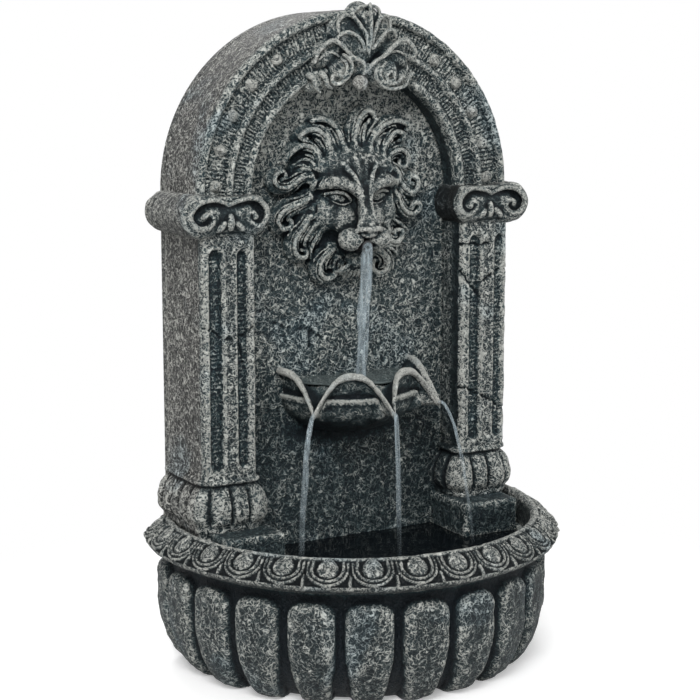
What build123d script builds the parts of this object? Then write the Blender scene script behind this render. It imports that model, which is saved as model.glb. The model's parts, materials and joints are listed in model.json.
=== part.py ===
from build123d import *
import os
from math import atan2, cos, pi, radians, sin, sqrt

# Wall fountain in cast resin: a half-round basin, an arched niche between two pilasters, a lion mask that
# feeds a shell bowl, and a small pump with its riser hose behind the niche wall.
# Millimetres. X runs to the viewer's right, Y towards the wall behind, Z up from the floor.
# The origin is on the floor under the middle of the fountain's box.

os.makedirs("parts", exist_ok=True)

# Basin: radii about the bowl axis
axis_to_wall = 66.0
bowl_radius = 173.0
bowl_height = 107.0
shoulder_height = 62.0
foot_radius = 132.0
bowl_wall = 9.0
floor_thickness = 12.0
back_wall = 10.0
gadroon_count = 22
gadroon_width = 42.0
gadroon_bulge = 8.0
gadroon_margin = 4.0
# Shares of the gadroon's rise, and of its width and bulge there
gadroon_sections = ((0.0, 0.35, 0.4), (0.2, 0.8, 0.9), (0.55, 1.0, 1.0), (0.85, 0.85, 0.9), (1.0, 0.4, 0.4))

# Rim of the basin
rim_overhang = 23.0
rim_inset = 5.0
rim_height = 28.5
rim_nose_rise = 11.5
rim_nose_fall = 5.0
rim_lip = 5.0
rim_crown = 4.0
egg_pitch = 12.0
egg_count = 17
egg_radius = 12.5
egg_sink = 10.0

# Arched body: depths are measured from the wall
body_overhang = 6.0
pilaster_width = 52.0
plate_thickness = 8.0
panel_front = 54.0
panel_thickness = 8.0
panel_overlap = 1.5
panel_floor_gap = 50.0
roof_wall = 8.0
archivolt_front = 82.0

# Stacked heights of the pilasters
seat_gap = 0.5
base_height = 42.0
ring_height = 6.0
shaft_height = 215.0
capital_height = 35.0

# Plinth and base
plinth_height = 32.0
plinth_front = 117.0
plinth_step = 12.0
plinth_round = 3.0
lobe_radius = 9.0
lobe_end_radius = 5.5
lobe_pitch = 17.5
lobe_corner_step = 10.5
ring_overhang = 3.0
ring_round = 2.5

# Shaft and its flutes
shaft_front = 87.0
shaft_outer_round = 7.0
shaft_inner_round = 7.0
flute_width = 12.5
flute_depth = 5.0
flute_spacing = 26.0
flute_margin = 8.0

# Capital
capital_front = 90.0
capital_overhang = 5.0
abacus_height = 10.0
abacus_overhang = 11.0
abacus_proud = 2.0
volute_radius = 16.0
volute_spacing = 44.0
volute_drop = 16.5
volute_proud = 4.0
volute_groove_radius = 11.0
volute_groove_width = 4.0
volute_groove_depth = 3.0
bud_radius = 5.0
bud_rise = 8.0

# Mouldings of the archivolt, from the outer edge inwards
outer_fillet_width = 8.0
bead_band_width = 20.0
bead_band_depth = 6.0
roll_width = 7.0
roll_proud = 2.0
inner_band_depth = 4.0
inner_band_width = 12.0
bead_radius = 5.0
bead_first_angle = 3.0
bead_angle_step = 13.0
bead_count = 5

# Keystone acanthus, heights from the crown of the arch
keystone_top_rise = 6.0
keystone_front = 92.0
leaf_width = 27.0
leaf_length = 56.0
leaf_step = 4.0
leaf_taper = 0.7
side_leaf_angle = 36.0
side_leaf_length = 46.0
side_leaf_width = 20.0
scroll_radius = 15.0
scroll_spread = 29.0
scroll_drop = 50.0
scroll_eye_radius = 5.0
scroll_proud = 3.0
key_ball_radius = 7.0
key_ball_drop = 9.0
finger_count = 2
finger_radius = 5.0
finger_length = 17.0
finger_spread = 39.0
finger_pitch = 8.5
finger_drop = 60.0

# Lion mask, heights from the spring line of the arch
lion_drop = 6.0
mane_width = 112.0
mane_height = 116.0
mane_thickness = 9.0
face_width = 80.0
face_height = 96.0
cheek_width = 74.0
cheek_height = 86.0
brow_front = 84.0
brow_width = 58.0
brow_height = 52.0
brow_rise = 10.0
muzzle_front = 99.0
muzzle_width = 36.0
muzzle_height = 24.0
muzzle_drop = 35.0
muzzle_root_width = 42.0
muzzle_root_height = 34.0
nose_radius = 8.0
nose_drop = 27.0
eye_radius = 7.0
eye_spread = 19.0
eye_rise = 1.0
chin_radius = 9.0
chin_drop = 54.0
outer_lock_count = 15
outer_lock_root = 34.0
outer_lock_length = 42.0
outer_lock_width = 17.0
outer_lock_front = 66.0
inner_lock_count = 12
inner_lock_root = 22.0
inner_lock_length = 38.0
inner_lock_width = 16.0
inner_lock_front = 76.0
lock_taper = 0.55
lock_sweep = 12.0
mouth_drop = 50.0

# Shell bowl, heights from the spring line of the arch
shell_drop = 188.0
shell_radius = 68.0
shell_wall = 9.0
shell_belly = 37.0
shell_foot = 10.0
shell_floor = 8.0
lip_angle = 50.0
lip_count = 3
lip_radius = 89.0
lip_fall = 5.0
lip_root_fall = 22.0
lip_channel_rise = 16.0
crest_radius = 71.0
crest_rise = 27.0
crest_channel_rise = 4.0
edge_thickness = 5.0
lip_sharpness = 2.0
collar_step = 6.25
collar_sink = 4.0
collar_inset = 1.5

# Water line behind the niche wall
spout_radius = 5.5
spout_bore = 4.0
spout_bend = 12.0
spout_tail = 20.0
spout_set_back = 3.0
spout_clearance = 0.3
hose_wall = 2.0
hose_grip = 16.0
slip_clearance = 0.2
clamp_wall = 1.6
clamp_height = 7.0
clamp_ear = 6.0
clamp_clearance = 0.1

# Pump
pump_depth = 34.0
pump_height = 40.0
pump_length = 50.0
pump_round = 5.0
cup_height = 5.0
cup_radius = 6.5
cup_neck_radius = 3.5
cup_inset = 8.0
rotor_height = 19.0
well_radius = 9.5
well_length = 26.0
chamber_radius = 14.0
chamber_depth = 9.0
rotor_clearance = 0.7
vane_count = 6
vane_thickness = 1.6
vane_gap = 1.0
vane_clearance = 1.6
pin_radius = 1.25
pin_fit = 0.05
bush_radius = 2.8
bush_length = 3.0
bush_gap = 0.4
cover_thickness = 3.0
inlet_radius = 6.5
spider_width = 2.0
spider_count = 3
hub_wall = 1.4
nozzle_base_radius = 8.0
nozzle_base_height = 3.0
strainer_length = 18.0
strainer_wall = 2.0
strainer_fit = 0.4
slot_width = 2.6
slot_pitch = 5.4
slot_count = 5
slot_margin = 5.0
dial_radius = 6.0
dial_thickness = 3.0
dial_gap = 0.3
dial_stem_radius = 2.0
dial_stem_fit = 0.08
dial_pointer = 4.0
gland_radius = 5.0
gland_bore = 3.0
gland_length = 7.0

# Service opening in the back
hatch_width = 90.0
hatch_height = 120.0
hatch_rise = 40.0
hatch_rebate = 9.0
hatch_thickness = 4.0
hatch_fit = 0.4
hatch_flush = 0.3
screw_radius = 1.9
screw_head_radius = 3.8
screw_head_height = 2.0
screw_fit = 0.1
grommet_bore = 3.5
grommet_neck = 6.0
grommet_flange = 9.0
grommet_lip = 2.0
grommet_fit = 0.2
grommet_side = 78.0
grommet_rise = 26.0

# Sizes that follow
rim_radius = bowl_radius + rim_overhang
rim_inner = bowl_radius - rim_inset
rim_top = bowl_height + rim_height
wall_y = (axis_to_wall + rim_radius) / 2
plate_foot = sqrt(rim_inner**2 - axis_to_wall**2) - seat_gap
body_half = round(plate_foot + body_overhang)
body_width = 2 * body_half
niche_half = body_half - pilaster_width
niche_width = 2 * niche_half
plinth_top = rim_top + seat_gap
base_top = plinth_top + base_height + ring_height
shaft_top = base_top + shaft_height
spring = shaft_top + capital_height
crown = spring + body_half
panel_back = panel_front - panel_thickness
pilaster_middle = (niche_half + body_half) / 2


def out(distance):
    """Y of the upright plane that lies the given distance in front of the wall."""
    return wall_y - distance


def facing(distance):
    """Upright plane the given distance in front of the wall, drawn on from the front."""
    return Plane(origin=(0, out(distance), 0), x_dir=(1, 0, 0), z_dir=(0, -1, 0))


# Basin
bowl_axis = Axis((0, out(axis_to_wall), 0), (0, 0, 1))


def bowl_section(radius, foot, bottom, top):
    """Half section of a round bowl: flat foot, quarter-ellipse belly and upright wall."""
    belly = shoulder_height - bottom
    with BuildSketch(facing(axis_to_wall)) as section:
        with BuildLine():
            EllipticalCenterArc((foot, shoulder_height), radius - foot, belly, -90, arc_size=90)
            Polyline((radius, shoulder_height), (radius, top), (0, top), (0, bottom), (foot, bottom))
        make_face()
    return section.sketch


def bowl_radius_at(height):
    """Outer radius of the plain bowl at a height."""
    if height >= shoulder_height:
        return bowl_radius
    below = (shoulder_height - height) / shoulder_height
    return foot_radius + (bowl_radius - foot_radius) * sqrt(1 - below**2)


with BuildPart() as bowl_cavity:
    revolve(
        bowl_section(bowl_radius - bowl_wall, foot_radius - bowl_wall, floor_thickness, rim_top),
        axis=bowl_axis,
    )
    split(bisect_by=facing(back_wall), keep=Keep.TOP)

gadroon_rise = bowl_height - 2 * gadroon_margin
with BuildPart() as gadroon:
    for rise, width, bulge in gadroon_sections:
        height = gadroon_margin + rise * gadroon_rise
        with BuildSketch(Plane.XY.offset(height)):
            with Locations((0, -bowl_radius_at(height))):
                Ellipse(width * gadroon_width / 2, bulge * gadroon_bulge)
    loft()

with BuildPart() as basin:
    revolve(bowl_section(bowl_radius, foot_radius, 0, bowl_height), axis=bowl_axis)
    with Locations((0, out(axis_to_wall), 0)):
        with PolarLocations(0, gadroon_count):
            add(gadroon.part)
    split(bisect_by=facing(0), keep=Keep.TOP)
    add(bowl_cavity.part, mode=Mode.SUBTRACT)
basin.part.label = "basin"
export_step(basin.part, "parts/basin.step")

# Rim with its row of eggs
rim_nose = bowl_height + rim_nose_rise
rim_crest = rim_inner + rim_lip
rim_slope_middle = ((rim_radius + rim_crest) / 2 + rim_crown / 2, (rim_nose + rim_top) / 2 + rim_crown)
slope_angle = atan2(rim_top - rim_nose, rim_crest - rim_radius)
egg_ring = rim_slope_middle[0] - egg_sink * sin(slope_angle)
egg_height = rim_slope_middle[1] + egg_sink * cos(slope_angle)
egg_span = egg_pitch * (egg_count - 1)
egg_first = -90 - egg_span / 2
with BuildPart() as basin_rim:
    with BuildSketch(facing(axis_to_wall)):
        with BuildLine():
            Polyline(
                (rim_crest, rim_top),
                (rim_inner, rim_top),
                (rim_inner, bowl_height),
                (bowl_radius + gadroon_bulge / 2, bowl_height),
                (rim_radius - rim_nose_fall, rim_nose - rim_nose_fall),
                (rim_radius, rim_nose),
            )
            ThreePointArc((rim_radius, rim_nose), rim_slope_middle, (rim_crest, rim_top))
        make_face()
    revolve(axis=bowl_axis)
    with Locations((0, out(axis_to_wall), egg_height)):
        with PolarLocations(egg_ring, egg_count, egg_first, egg_span, endpoint=True):
            Sphere(egg_radius)
    split(bisect_by=facing(0), keep=Keep.TOP)
basin_rim.part.label = "basin_rim"
export_step(basin_rim.part, "parts/basin_rim.step")

# Back plate with the service opening, rebated on the outside so that the hatch lies flush
hatch_middle = plinth_top + hatch_rise + hatch_height / 2
hatch_screw_spots = (hatch_width + hatch_rebate, hatch_height + hatch_rebate)
grommet_height = plinth_top + grommet_rise
with BuildPart() as back_plate:
    with BuildSketch(facing(0)):
        with Locations((0, spring)):
            Circle(body_half)
        with Locations((0, plinth_top)):
            Rectangle(body_width, spring - plinth_top, align=(Align.CENTER, Align.MIN))
        with Locations((0, bowl_height)):
            Rectangle(2 * plate_foot, plinth_top - bowl_height, align=(Align.CENTER, Align.MIN))
    extrude(amount=plate_thickness)
    with BuildSketch(facing(0)):
        with Locations((0, hatch_middle)):
            Rectangle(hatch_width, hatch_height)
    extrude(amount=plate_thickness, mode=Mode.SUBTRACT)
    with BuildSketch(facing(0)):
        with Locations((0, hatch_middle)):
            Rectangle(hatch_width + 2 * hatch_rebate, hatch_height + 2 * hatch_rebate)
    extrude(amount=hatch_thickness + hatch_flush, mode=Mode.SUBTRACT)
    with BuildSketch(facing(0)):
        with Locations((0, hatch_middle)):
            with GridLocations(*hatch_screw_spots, 2, 2):
                Circle(screw_radius + screw_fit)
        with Locations((grommet_side, grommet_height)):
            Circle(grommet_neck + grommet_fit)
    extrude(amount=plate_thickness, mode=Mode.SUBTRACT)
    with BuildSketch(facing(0)):
        with Locations((grommet_side, grommet_height)):
            Circle(grommet_flange + grommet_fit)
    extrude(amount=grommet_lip + hatch_flush, mode=Mode.SUBTRACT)
back_plate.part.label = "back_plate"
export_step(back_plate.part, "parts/back_plate.step")

with BuildPart() as rear_hatch:
    with BuildSketch(facing(hatch_flush)):
        with Locations((0, hatch_middle)):
            Rectangle(
                hatch_width + 2 * (hatch_rebate - hatch_fit),
                hatch_height + 2 * (hatch_rebate - hatch_fit),
            )
            with GridLocations(*hatch_screw_spots, 2, 2):
                Circle(screw_radius + screw_fit, mode=Mode.SUBTRACT)
    extrude(amount=hatch_thickness)
    with BuildSketch(facing(hatch_flush)):
        with Locations((0, hatch_middle)):
            with GridLocations(*hatch_screw_spots, 2, 2):
                Circle(screw_head_radius + screw_fit)
    extrude(amount=screw_head_height, mode=Mode.SUBTRACT)
    with BuildSketch(facing(hatch_flush + hatch_thickness)):
        with Locations((0, hatch_middle)):
            Rectangle(hatch_width - 2 * hatch_fit, hatch_height - 2 * hatch_fit)
            Rectangle(
                hatch_width - 2 * hatch_fit - 2 * hatch_thickness,
                hatch_height - 2 * hatch_fit - 2 * hatch_thickness,
                mode=Mode.SUBTRACT,
            )
    extrude(amount=plate_thickness - hatch_thickness - hatch_flush)
rear_hatch.part.label = "rear_hatch"
export_step(rear_hatch.part, "parts/rear_hatch.step")

with BuildPart() as hatch_screws:
    with BuildSketch(facing(hatch_flush)):
        with Locations((0, hatch_middle)):
            with GridLocations(*hatch_screw_spots, 2, 2):
                Circle(screw_radius)
    extrude(amount=plate_thickness - hatch_flush)
    with BuildSketch(facing(hatch_flush)):
        with Locations((0, hatch_middle)):
            with GridLocations(*hatch_screw_spots, 2, 2):
                Circle(screw_head_radius)
    extrude(amount=screw_head_height)
hatch_screws.part.label = "hatch_screws"
export_step(hatch_screws.part, "parts/hatch_screws.step")

with BuildPart() as cable_grommet:
    with BuildSketch(facing(hatch_flush)):
        with Locations((grommet_side, grommet_height)):
            Circle(grommet_flange)
    extrude(amount=grommet_lip)
    with BuildSketch(facing(hatch_flush + grommet_lip)):
        with Locations((grommet_side, grommet_height)):
            Circle(grommet_neck)
    extrude(amount=plate_thickness - hatch_flush - grommet_lip)
    with BuildSketch(facing(plate_thickness)):
        with Locations((grommet_side, grommet_height)):
            Circle(grommet_flange)
    extrude(amount=grommet_lip)
    with BuildSketch(facing(hatch_flush)):
        with Locations((grommet_side, grommet_height)):
            Circle(grommet_bore)
    extrude(amount=plate_thickness + grommet_lip, mode=Mode.SUBTRACT)
cable_grommet.part.label = "cable_grommet"
export_step(cable_grommet.part, "parts/cable_grommet.step")

# Niche wall
mouth_height = spring - mouth_drop
panel_bottom = floor_thickness + panel_floor_gap
with BuildPart() as back_panel:
    with BuildSketch(facing(panel_back)):
        with Locations((0, spring)):
            Circle(niche_half - seat_gap / 2)
        with Locations((0, panel_bottom)):
            Rectangle(niche_width - seat_gap, spring - panel_bottom, align=(Align.CENTER, Align.MIN))
        with Locations((0, mouth_height)):
            Circle(spout_radius + spout_clearance, mode=Mode.SUBTRACT)
    extrude(amount=panel_thickness)
back_panel.part.label = "back_panel"
export_step(back_panel.part, "parts/back_panel.step")

# Vault and moulded arch front
with BuildPart() as arch_roof:
    with BuildSketch(facing(plate_thickness)):
        with Locations((0, spring)):
            Circle(body_half)
            Circle(body_half - roof_wall, mode=Mode.SUBTRACT)
            Rectangle(body_width, body_width, align=(Align.CENTER, Align.MAX), mode=Mode.SUBTRACT)
    extrude(amount=panel_front - plate_thickness)
arch_roof.part.label = "arch_roof"
export_step(arch_roof.part, "parts/arch_roof.step")

arch_inner = niche_half - panel_overlap
bead_band_outer = body_half - outer_fillet_width
roll_outer = bead_band_outer - bead_band_width
roll_inner = roll_outer - roll_width
inner_fillet = roll_inner - inner_band_width
bead_face = archivolt_front - bead_band_depth
roll_front = archivolt_front + roll_proud
inner_face = archivolt_front - inner_band_depth
arch_axis = Axis((0, 0, spring), (0, -1, 0))
with BuildPart() as archivolt:
    with BuildSketch(Plane.XY.offset(spring)):
        with BuildLine():
            Polyline(
                (roll_inner, out(archivolt_front)),
                (roll_inner, out(inner_face)),
                (inner_fillet, out(inner_face)),
                (inner_fillet, out(archivolt_front)),
                (arch_inner, out(archivolt_front)),
                (arch_inner, out(panel_front)),
                (body_half, out(panel_front)),
                (body_half, out(archivolt_front)),
                (bead_band_outer, out(archivolt_front)),
                (bead_band_outer, out(bead_face)),
                (roll_outer, out(bead_face)),
                (roll_outer, out(archivolt_front)),
            )
            ThreePointArc(
                (roll_outer, out(archivolt_front)),
                ((roll_outer + roll_inner) / 2, out(roll_front)),
                (roll_inner, out(archivolt_front)),
            )
        make_face()
    revolve(axis=arch_axis, revolution_arc=180)
archivolt.part.label = "archivolt"
export_step(archivolt.part, "parts/archivolt.step")

bead_ring = (bead_band_outer + roll_outer) / 2
with BuildPart() as arch_beads:
    for number in range(bead_count):
        angle = radians(bead_first_angle + number * bead_angle_step)
        for side in (-1, 1):
            bead_x = side * bead_ring * cos(angle)
            with Locations((bead_x, out(bead_face), spring + bead_ring * sin(angle))):
                Sphere(bead_radius)
    split(bisect_by=facing(bead_face), keep=Keep.TOP)
arch_beads.part.label = "arch_beads"
export_step(arch_beads.part, "parts/arch_beads.step")

# Keystone: one upright leaf, a leaning leaf each side, two scrolls, leaf tips, and a ball on a stem
leaf_top = crown + keystone_top_rise
leaf_root = leaf_top - leaf_length
ball_height = spring + niche_half - key_ball_drop


def leaf(depth, length, width, root_height, lean):
    """Leaf outline on an upright plane, growing from its root at a lean from upright."""
    with BuildSketch(facing(depth)) as outline:
        with Locations(Location((0, root_height, 0), (0, 0, -lean))):
            with Locations((0, length / 2)):
                Ellipse(width / 2, length / 2)
    return outline.sketch


with BuildPart() as keystone:
    for lean, length, width, front in (
        (0, leaf_length, leaf_width, keystone_front),
        (side_leaf_angle, side_leaf_length, side_leaf_width, keystone_front - leaf_step),
        (-side_leaf_angle, side_leaf_length, side_leaf_width, keystone_front - leaf_step),
    ):
        loft(
            [
                leaf(bead_face, length, width, leaf_root, lean),
                leaf(front, length * leaf_taper, width * leaf_taper, leaf_root + leaf_step, lean),
            ]
        )
    for side in (-1, 1):
        with BuildSketch(facing(bead_face)):
            with Locations((side * scroll_spread, crown - scroll_drop)):
                Circle(scroll_radius)
        extrude(amount=keystone_front - bead_face - scroll_proud)
        with BuildSketch(facing(bead_face)):
            with Locations((side * scroll_spread, crown - scroll_drop)):
                Circle(scroll_eye_radius)
        extrude(amount=keystone_front - bead_face)
        with BuildSketch(facing(bead_face)):
            for number in range(finger_count):
                with Locations((side * (finger_spread + number * finger_pitch), crown - finger_drop)):
                    SlotOverall(finger_length, 2 * finger_radius, rotation=90)
        extrude(amount=keystone_front - bead_face - 2 * scroll_proud)
    with BuildSketch(facing(bead_face)):
        with Locations((0, ball_height)):
            Rectangle(
                2 * scroll_spread,
                leaf_root + leaf_step - ball_height,
                align=(Align.CENTER, Align.MIN),
            )
    extrude(amount=archivolt_front - bead_face)
    with Locations((0, out(archivolt_front), ball_height)):
        Sphere(key_ball_radius)
    add(archivolt.part, mode=Mode.SUBTRACT)
keystone.part.label = "keystone"
export_step(keystone.part, "parts/keystone.step")

# Pilasters, the same on both sides
plinth_reach = min(rim_inner, bowl_radius - bowl_wall) - seat_gap
plinth_outer = sqrt(plinth_reach**2 - max(plinth_front - axis_to_wall, axis_to_wall - panel_front) ** 2)
plinth_inner = niche_half - plinth_step
plinth_middle = (plinth_inner + plinth_outer) / 2
volute_height = spring - volute_drop
for side, sign in (("left", -1), ("right", 1)):
    with BuildPart() as plinth:
        with BuildSketch(Plane.XY.offset(plinth_top - plinth_height)):
            with Locations((sign * plinth_middle, out((panel_front + plinth_front) / 2))):
                Rectangle(plinth_outer - plinth_inner, plinth_front - panel_front)
        extrude(amount=plinth_height)
        fillet(plinth.edges().filter_by(Axis.Z).sort_by(Axis.Y)[:2], plinth_round)
    plinth.part.label = f"{side}_plinth"
    export_step(plinth.part, f"parts/{side}_plinth.step")

    front_lobes = int((pilaster_width + lobe_radius) // lobe_pitch)
    side_lobes = int((shaft_front - plate_thickness) // lobe_pitch)
    front_start = pilaster_middle - (front_lobes - 1) / 2 * lobe_pitch
    side_start = shaft_front - lobe_corner_step
    lobe_spots = [(front_start + number * lobe_pitch, shaft_front) for number in range(front_lobes)]
    lobe_spots += [(body_half, side_start - number * lobe_pitch) for number in range(side_lobes)]
    lobe_spots += [(niche_half, side_start)]
    with BuildPart() as lobe:
        with BuildSketch(Plane.XZ):
            with BuildLine():
                Polyline((lobe_end_radius, base_height), (0, base_height), (0, 0), (lobe_end_radius, 0))
                ThreePointArc(
                    (lobe_end_radius, 0),
                    (lobe_radius, base_height / 2),
                    (lobe_end_radius, base_height),
                )
            make_face()
        revolve(axis=Axis.Z)
    with BuildPart() as base:
        with BuildSketch(Plane.XY.offset(plinth_top)):
            with Locations((sign * pilaster_middle, out((plate_thickness + shaft_front) / 2))):
                Rectangle(pilaster_width, shaft_front - plate_thickness)
        extrude(amount=base_height)
        for spot_x, spot_depth in lobe_spots:
            with Locations((sign * spot_x, out(spot_depth), plinth_top)):
                add(lobe.part)
        with BuildSketch(Plane.XY.offset(plinth_top + base_height)):
            ring_middle = pilaster_middle + ring_overhang / 2
            with Locations((sign * ring_middle, out((plate_thickness + shaft_front) / 2))):
                Rectangle(pilaster_width + ring_overhang, shaft_front - plate_thickness)
            with Locations((sign * pilaster_middle, out((panel_front + shaft_front + ring_overhang) / 2))):
                Rectangle(pilaster_width + 2 * ring_overhang, shaft_front + ring_overhang - panel_front)
        extrude(amount=ring_height)
        fillet(base.edges().filter_by(Axis.Z).sort_by(Axis.Y)[:2], ring_round)
    base.part.label = f"{side}_base"
    export_step(base.part, f"parts/{side}_base.step")

    with BuildPart() as shaft:
        with BuildSketch(Plane.XY.offset(base_top)) as shaft_plan:
            with Locations((sign * pilaster_middle, out((plate_thickness + shaft_front) / 2))):
                Rectangle(pilaster_width, shaft_front - plate_thickness)
            front_corners = shaft_plan.vertices().group_by(Axis.Y)[0].sort_by(Axis.X)
            fillet(front_corners[-1] if sign > 0 else front_corners[0], shaft_outer_round)
            fillet(front_corners[0] if sign > 0 else front_corners[-1], shaft_inner_round)
        extrude(amount=shaft_height)
        with BuildSketch(facing(shaft_front)):
            with Locations((sign * pilaster_middle, base_top + shaft_height / 2)):
                with GridLocations(flute_spacing, 1, 2, 1):
                    SlotOverall(shaft_height - 2 * flute_margin, flute_width, rotation=90)
        extrude(amount=-flute_depth, mode=Mode.SUBTRACT)
    shaft.part.label = f"{side}_shaft"
    export_step(shaft.part, f"parts/{side}_shaft.step")

    with BuildPart() as capital:
        with BuildSketch(facing(plate_thickness)):
            with Locations((sign * (niche_half + body_half + capital_overhang) / 2, shaft_top)):
                Rectangle(
                    pilaster_width + capital_overhang,
                    capital_height,
                    align=(Align.CENTER, Align.MIN),
                )
            with Locations((sign * (pilaster_middle + volute_spacing / 2), volute_height)):
                Circle(volute_radius)
        extrude(amount=capital_front - plate_thickness)
        with BuildSketch(facing(panel_front)):
            with Locations((sign * pilaster_middle, shaft_top)):
                Rectangle(
                    pilaster_width + 2 * capital_overhang,
                    capital_height,
                    align=(Align.CENTER, Align.MIN),
                )
        extrude(amount=capital_front - panel_front)
        with BuildSketch(Plane.XY.offset(spring)):
            with Locations((sign * (niche_half + body_half + abacus_overhang) / 2, out(plate_thickness))):
                Rectangle(
                    pilaster_width + abacus_overhang,
                    capital_front + abacus_proud - plate_thickness,
                    align=(Align.CENTER, Align.MAX),
                )
            with Locations((sign * pilaster_middle, out(panel_front))):
                Rectangle(
                    pilaster_width + 2 * abacus_overhang,
                    capital_front + abacus_proud - panel_front,
                    align=(Align.CENTER, Align.MAX),
                )
        extrude(amount=-abacus_height)
        for place in (-1, 1):
            volute_x = sign * pilaster_middle + place * volute_spacing / 2
            with BuildSketch(facing(panel_front)):
                with Locations((volute_x, volute_height)):
                    Circle(volute_radius)
            extrude(amount=capital_front + volute_proud - panel_front)
            with BuildSketch(facing(capital_front + volute_proud)):
                with Locations((volute_x, volute_height)):
                    Circle(volute_groove_radius)
                    Circle(volute_groove_radius - volute_groove_width, mode=Mode.SUBTRACT)
            extrude(amount=-volute_groove_depth, mode=Mode.SUBTRACT)
        with Locations((sign * pilaster_middle, out(capital_front), shaft_top + bud_rise)):
            Sphere(bud_radius)
    capital.part.label = f"{side}_capital"
    export_step(capital.part, f"parts/{side}_capital.step")

# Lion mask: mane pad with two rings of locks, tapered head, muzzle, nose, eyes and chin
lion_height = spring - lion_drop


def oval(depth, width, height, centre_height):
    """Upright ellipse at a depth, as one section of a loft."""
    with BuildSketch(facing(depth)) as section:
        with Locations((0, centre_height)):
            Ellipse(width / 2, height / 2)
    return section.sketch


def mane_lock(depth, root, length, width, lean):
    """Outline of one lock of the mane, swept a little aside from the ray that it grows along."""
    with BuildSketch(facing(depth)) as outline:
        with Locations(Location((0, lion_height, 0), (0, 0, lean))):
            with Locations(Location((root + length / 2, 0, 0), (0, 0, lock_sweep))):
                Ellipse(length / 2, width / 2)
    return outline.sketch


with BuildPart() as lion_mask:
    loft(
        [
            oval(panel_front, mane_width, mane_height, lion_height),
            oval(panel_front + mane_thickness, face_width, face_height, lion_height),
        ]
    )
    loft(
        [
            oval(panel_front, face_width, face_height, lion_height),
            oval((panel_front + brow_front) / 2, cheek_width, cheek_height, lion_height),
            oval(brow_front, brow_width, brow_height, lion_height + brow_rise),
        ]
    )
    loft(
        [
            oval(panel_front, muzzle_root_width, muzzle_root_height, lion_height - muzzle_drop),
            oval(muzzle_front, muzzle_width, muzzle_height, lion_height - muzzle_drop),
        ]
    )
    for count, root, length, width, front in (
        (outer_lock_count, outer_lock_root, outer_lock_length, outer_lock_width, outer_lock_front),
        (inner_lock_count, inner_lock_root, inner_lock_length, inner_lock_width, inner_lock_front),
    ):
        for number in range(count):
            lean = 360 * number / count
            loft(
                [
                    mane_lock(panel_front, root, length, width, lean),
                    mane_lock(front, root, length, width * lock_taper, lean),
                ]
            )
    for side in (-1, 1):
        with Locations((side * eye_spread, out(brow_front - eye_radius / 2), lion_height + eye_rise)):
            Sphere(eye_radius)
    with Locations((0, out(muzzle_front - nose_radius / 2), lion_height - nose_drop)):
        Sphere(nose_radius)
    with Locations((0, out(panel_front + mane_thickness + chin_radius), lion_height - chin_drop)):
        Sphere(chin_radius)
    with BuildSketch(facing(panel_front)):
        with Locations((0, mouth_height)):
            Circle(spout_radius + spout_clearance)
    extrude(amount=muzzle_front, mode=Mode.SUBTRACT)
    split(bisect_by=facing(panel_front), keep=Keep.TOP)
lion_mask.part.label = "lion_mask"
export_step(lion_mask.part, "parts/lion_mask.step")

# Shell bowl: round belly, and a collar whose edge rises to crests and runs out to drip lips
shell_height = spring - shell_drop
shell_inner = shell_radius - shell_wall
shell_axis = Axis((0, out(panel_front), 0), (0, 0, -1))


def lip_share(angle):
    """One at a drip lip, nothing at a crest and beyond the last crests."""
    if abs(angle) > lip_angle * lip_count / 2:
        return 0.0
    return ((1 + cos(2 * pi * angle / lip_angle)) / 2) ** lip_sharpness


def belly_radius(height):
    """Outer radius of the belly at a height at or below the collar."""
    return shell_foot + (shell_radius - shell_foot) * sqrt(1 - ((shell_height - height) / shell_belly) ** 2)


def collar_section(angle):
    """Section of the collar in the upright plane that leaves the bowl's axis at an angle from the front."""
    lip = lip_share(angle)
    root_height = shell_height - collar_sink - lip * lip_root_fall
    root_radius = belly_radius(root_height) - collar_inset
    edge_radius = crest_radius + lip * (lip_radius - crest_radius)
    edge_height = shell_height + crest_rise - lip * (crest_rise + lip_fall)
    channel_height = shell_height + crest_channel_rise + lip * (lip_channel_rise - crest_channel_rise)
    turn = radians(angle)
    plane = Plane(
        origin=(0, out(panel_front), 0),
        x_dir=(sin(turn), -cos(turn), 0),
        z_dir=(-cos(turn), -sin(turn), 0),
    )
    with BuildSketch(plane) as section:
        with BuildLine():
            Polyline(
                (root_radius - shell_wall + 2 * collar_inset, root_height),
                (root_radius, root_height),
                (edge_radius, edge_height - edge_thickness),
                (edge_radius - edge_thickness / 2, edge_height),
                (shell_inner + collar_inset, channel_height),
                close=True,
            )
        make_face()
    return section.sketch


collar_steps = round(180 / collar_step)
with BuildPart() as shell_bowl:
    with BuildSketch(facing(panel_front)):
        with BuildLine():
            belly_centre = (shell_foot, shell_height)
            EllipticalCenterArc(belly_centre, shell_radius - shell_foot, shell_belly, -90, arc_size=90)
            Line((shell_radius, shell_height), (shell_inner, shell_height))
            inner_belly = shell_belly - shell_floor
            EllipticalCenterArc(belly_centre, shell_inner - shell_foot, inner_belly, -90, arc_size=90)
            Polyline(
                (shell_foot, shell_height - shell_belly + shell_floor),
                (0, shell_height - shell_belly + shell_floor),
                (0, shell_height - shell_belly),
                (shell_foot, shell_height - shell_belly),
            )
        make_face()
    revolve(axis=shell_axis, revolution_arc=180)
    loft([collar_section(-90 + 180 * step / collar_steps) for step in range(collar_steps + 1)])
shell_bowl.part.label = "shell_bowl"
export_step(shell_bowl.part, "parts/shell_bowl.step")

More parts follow.
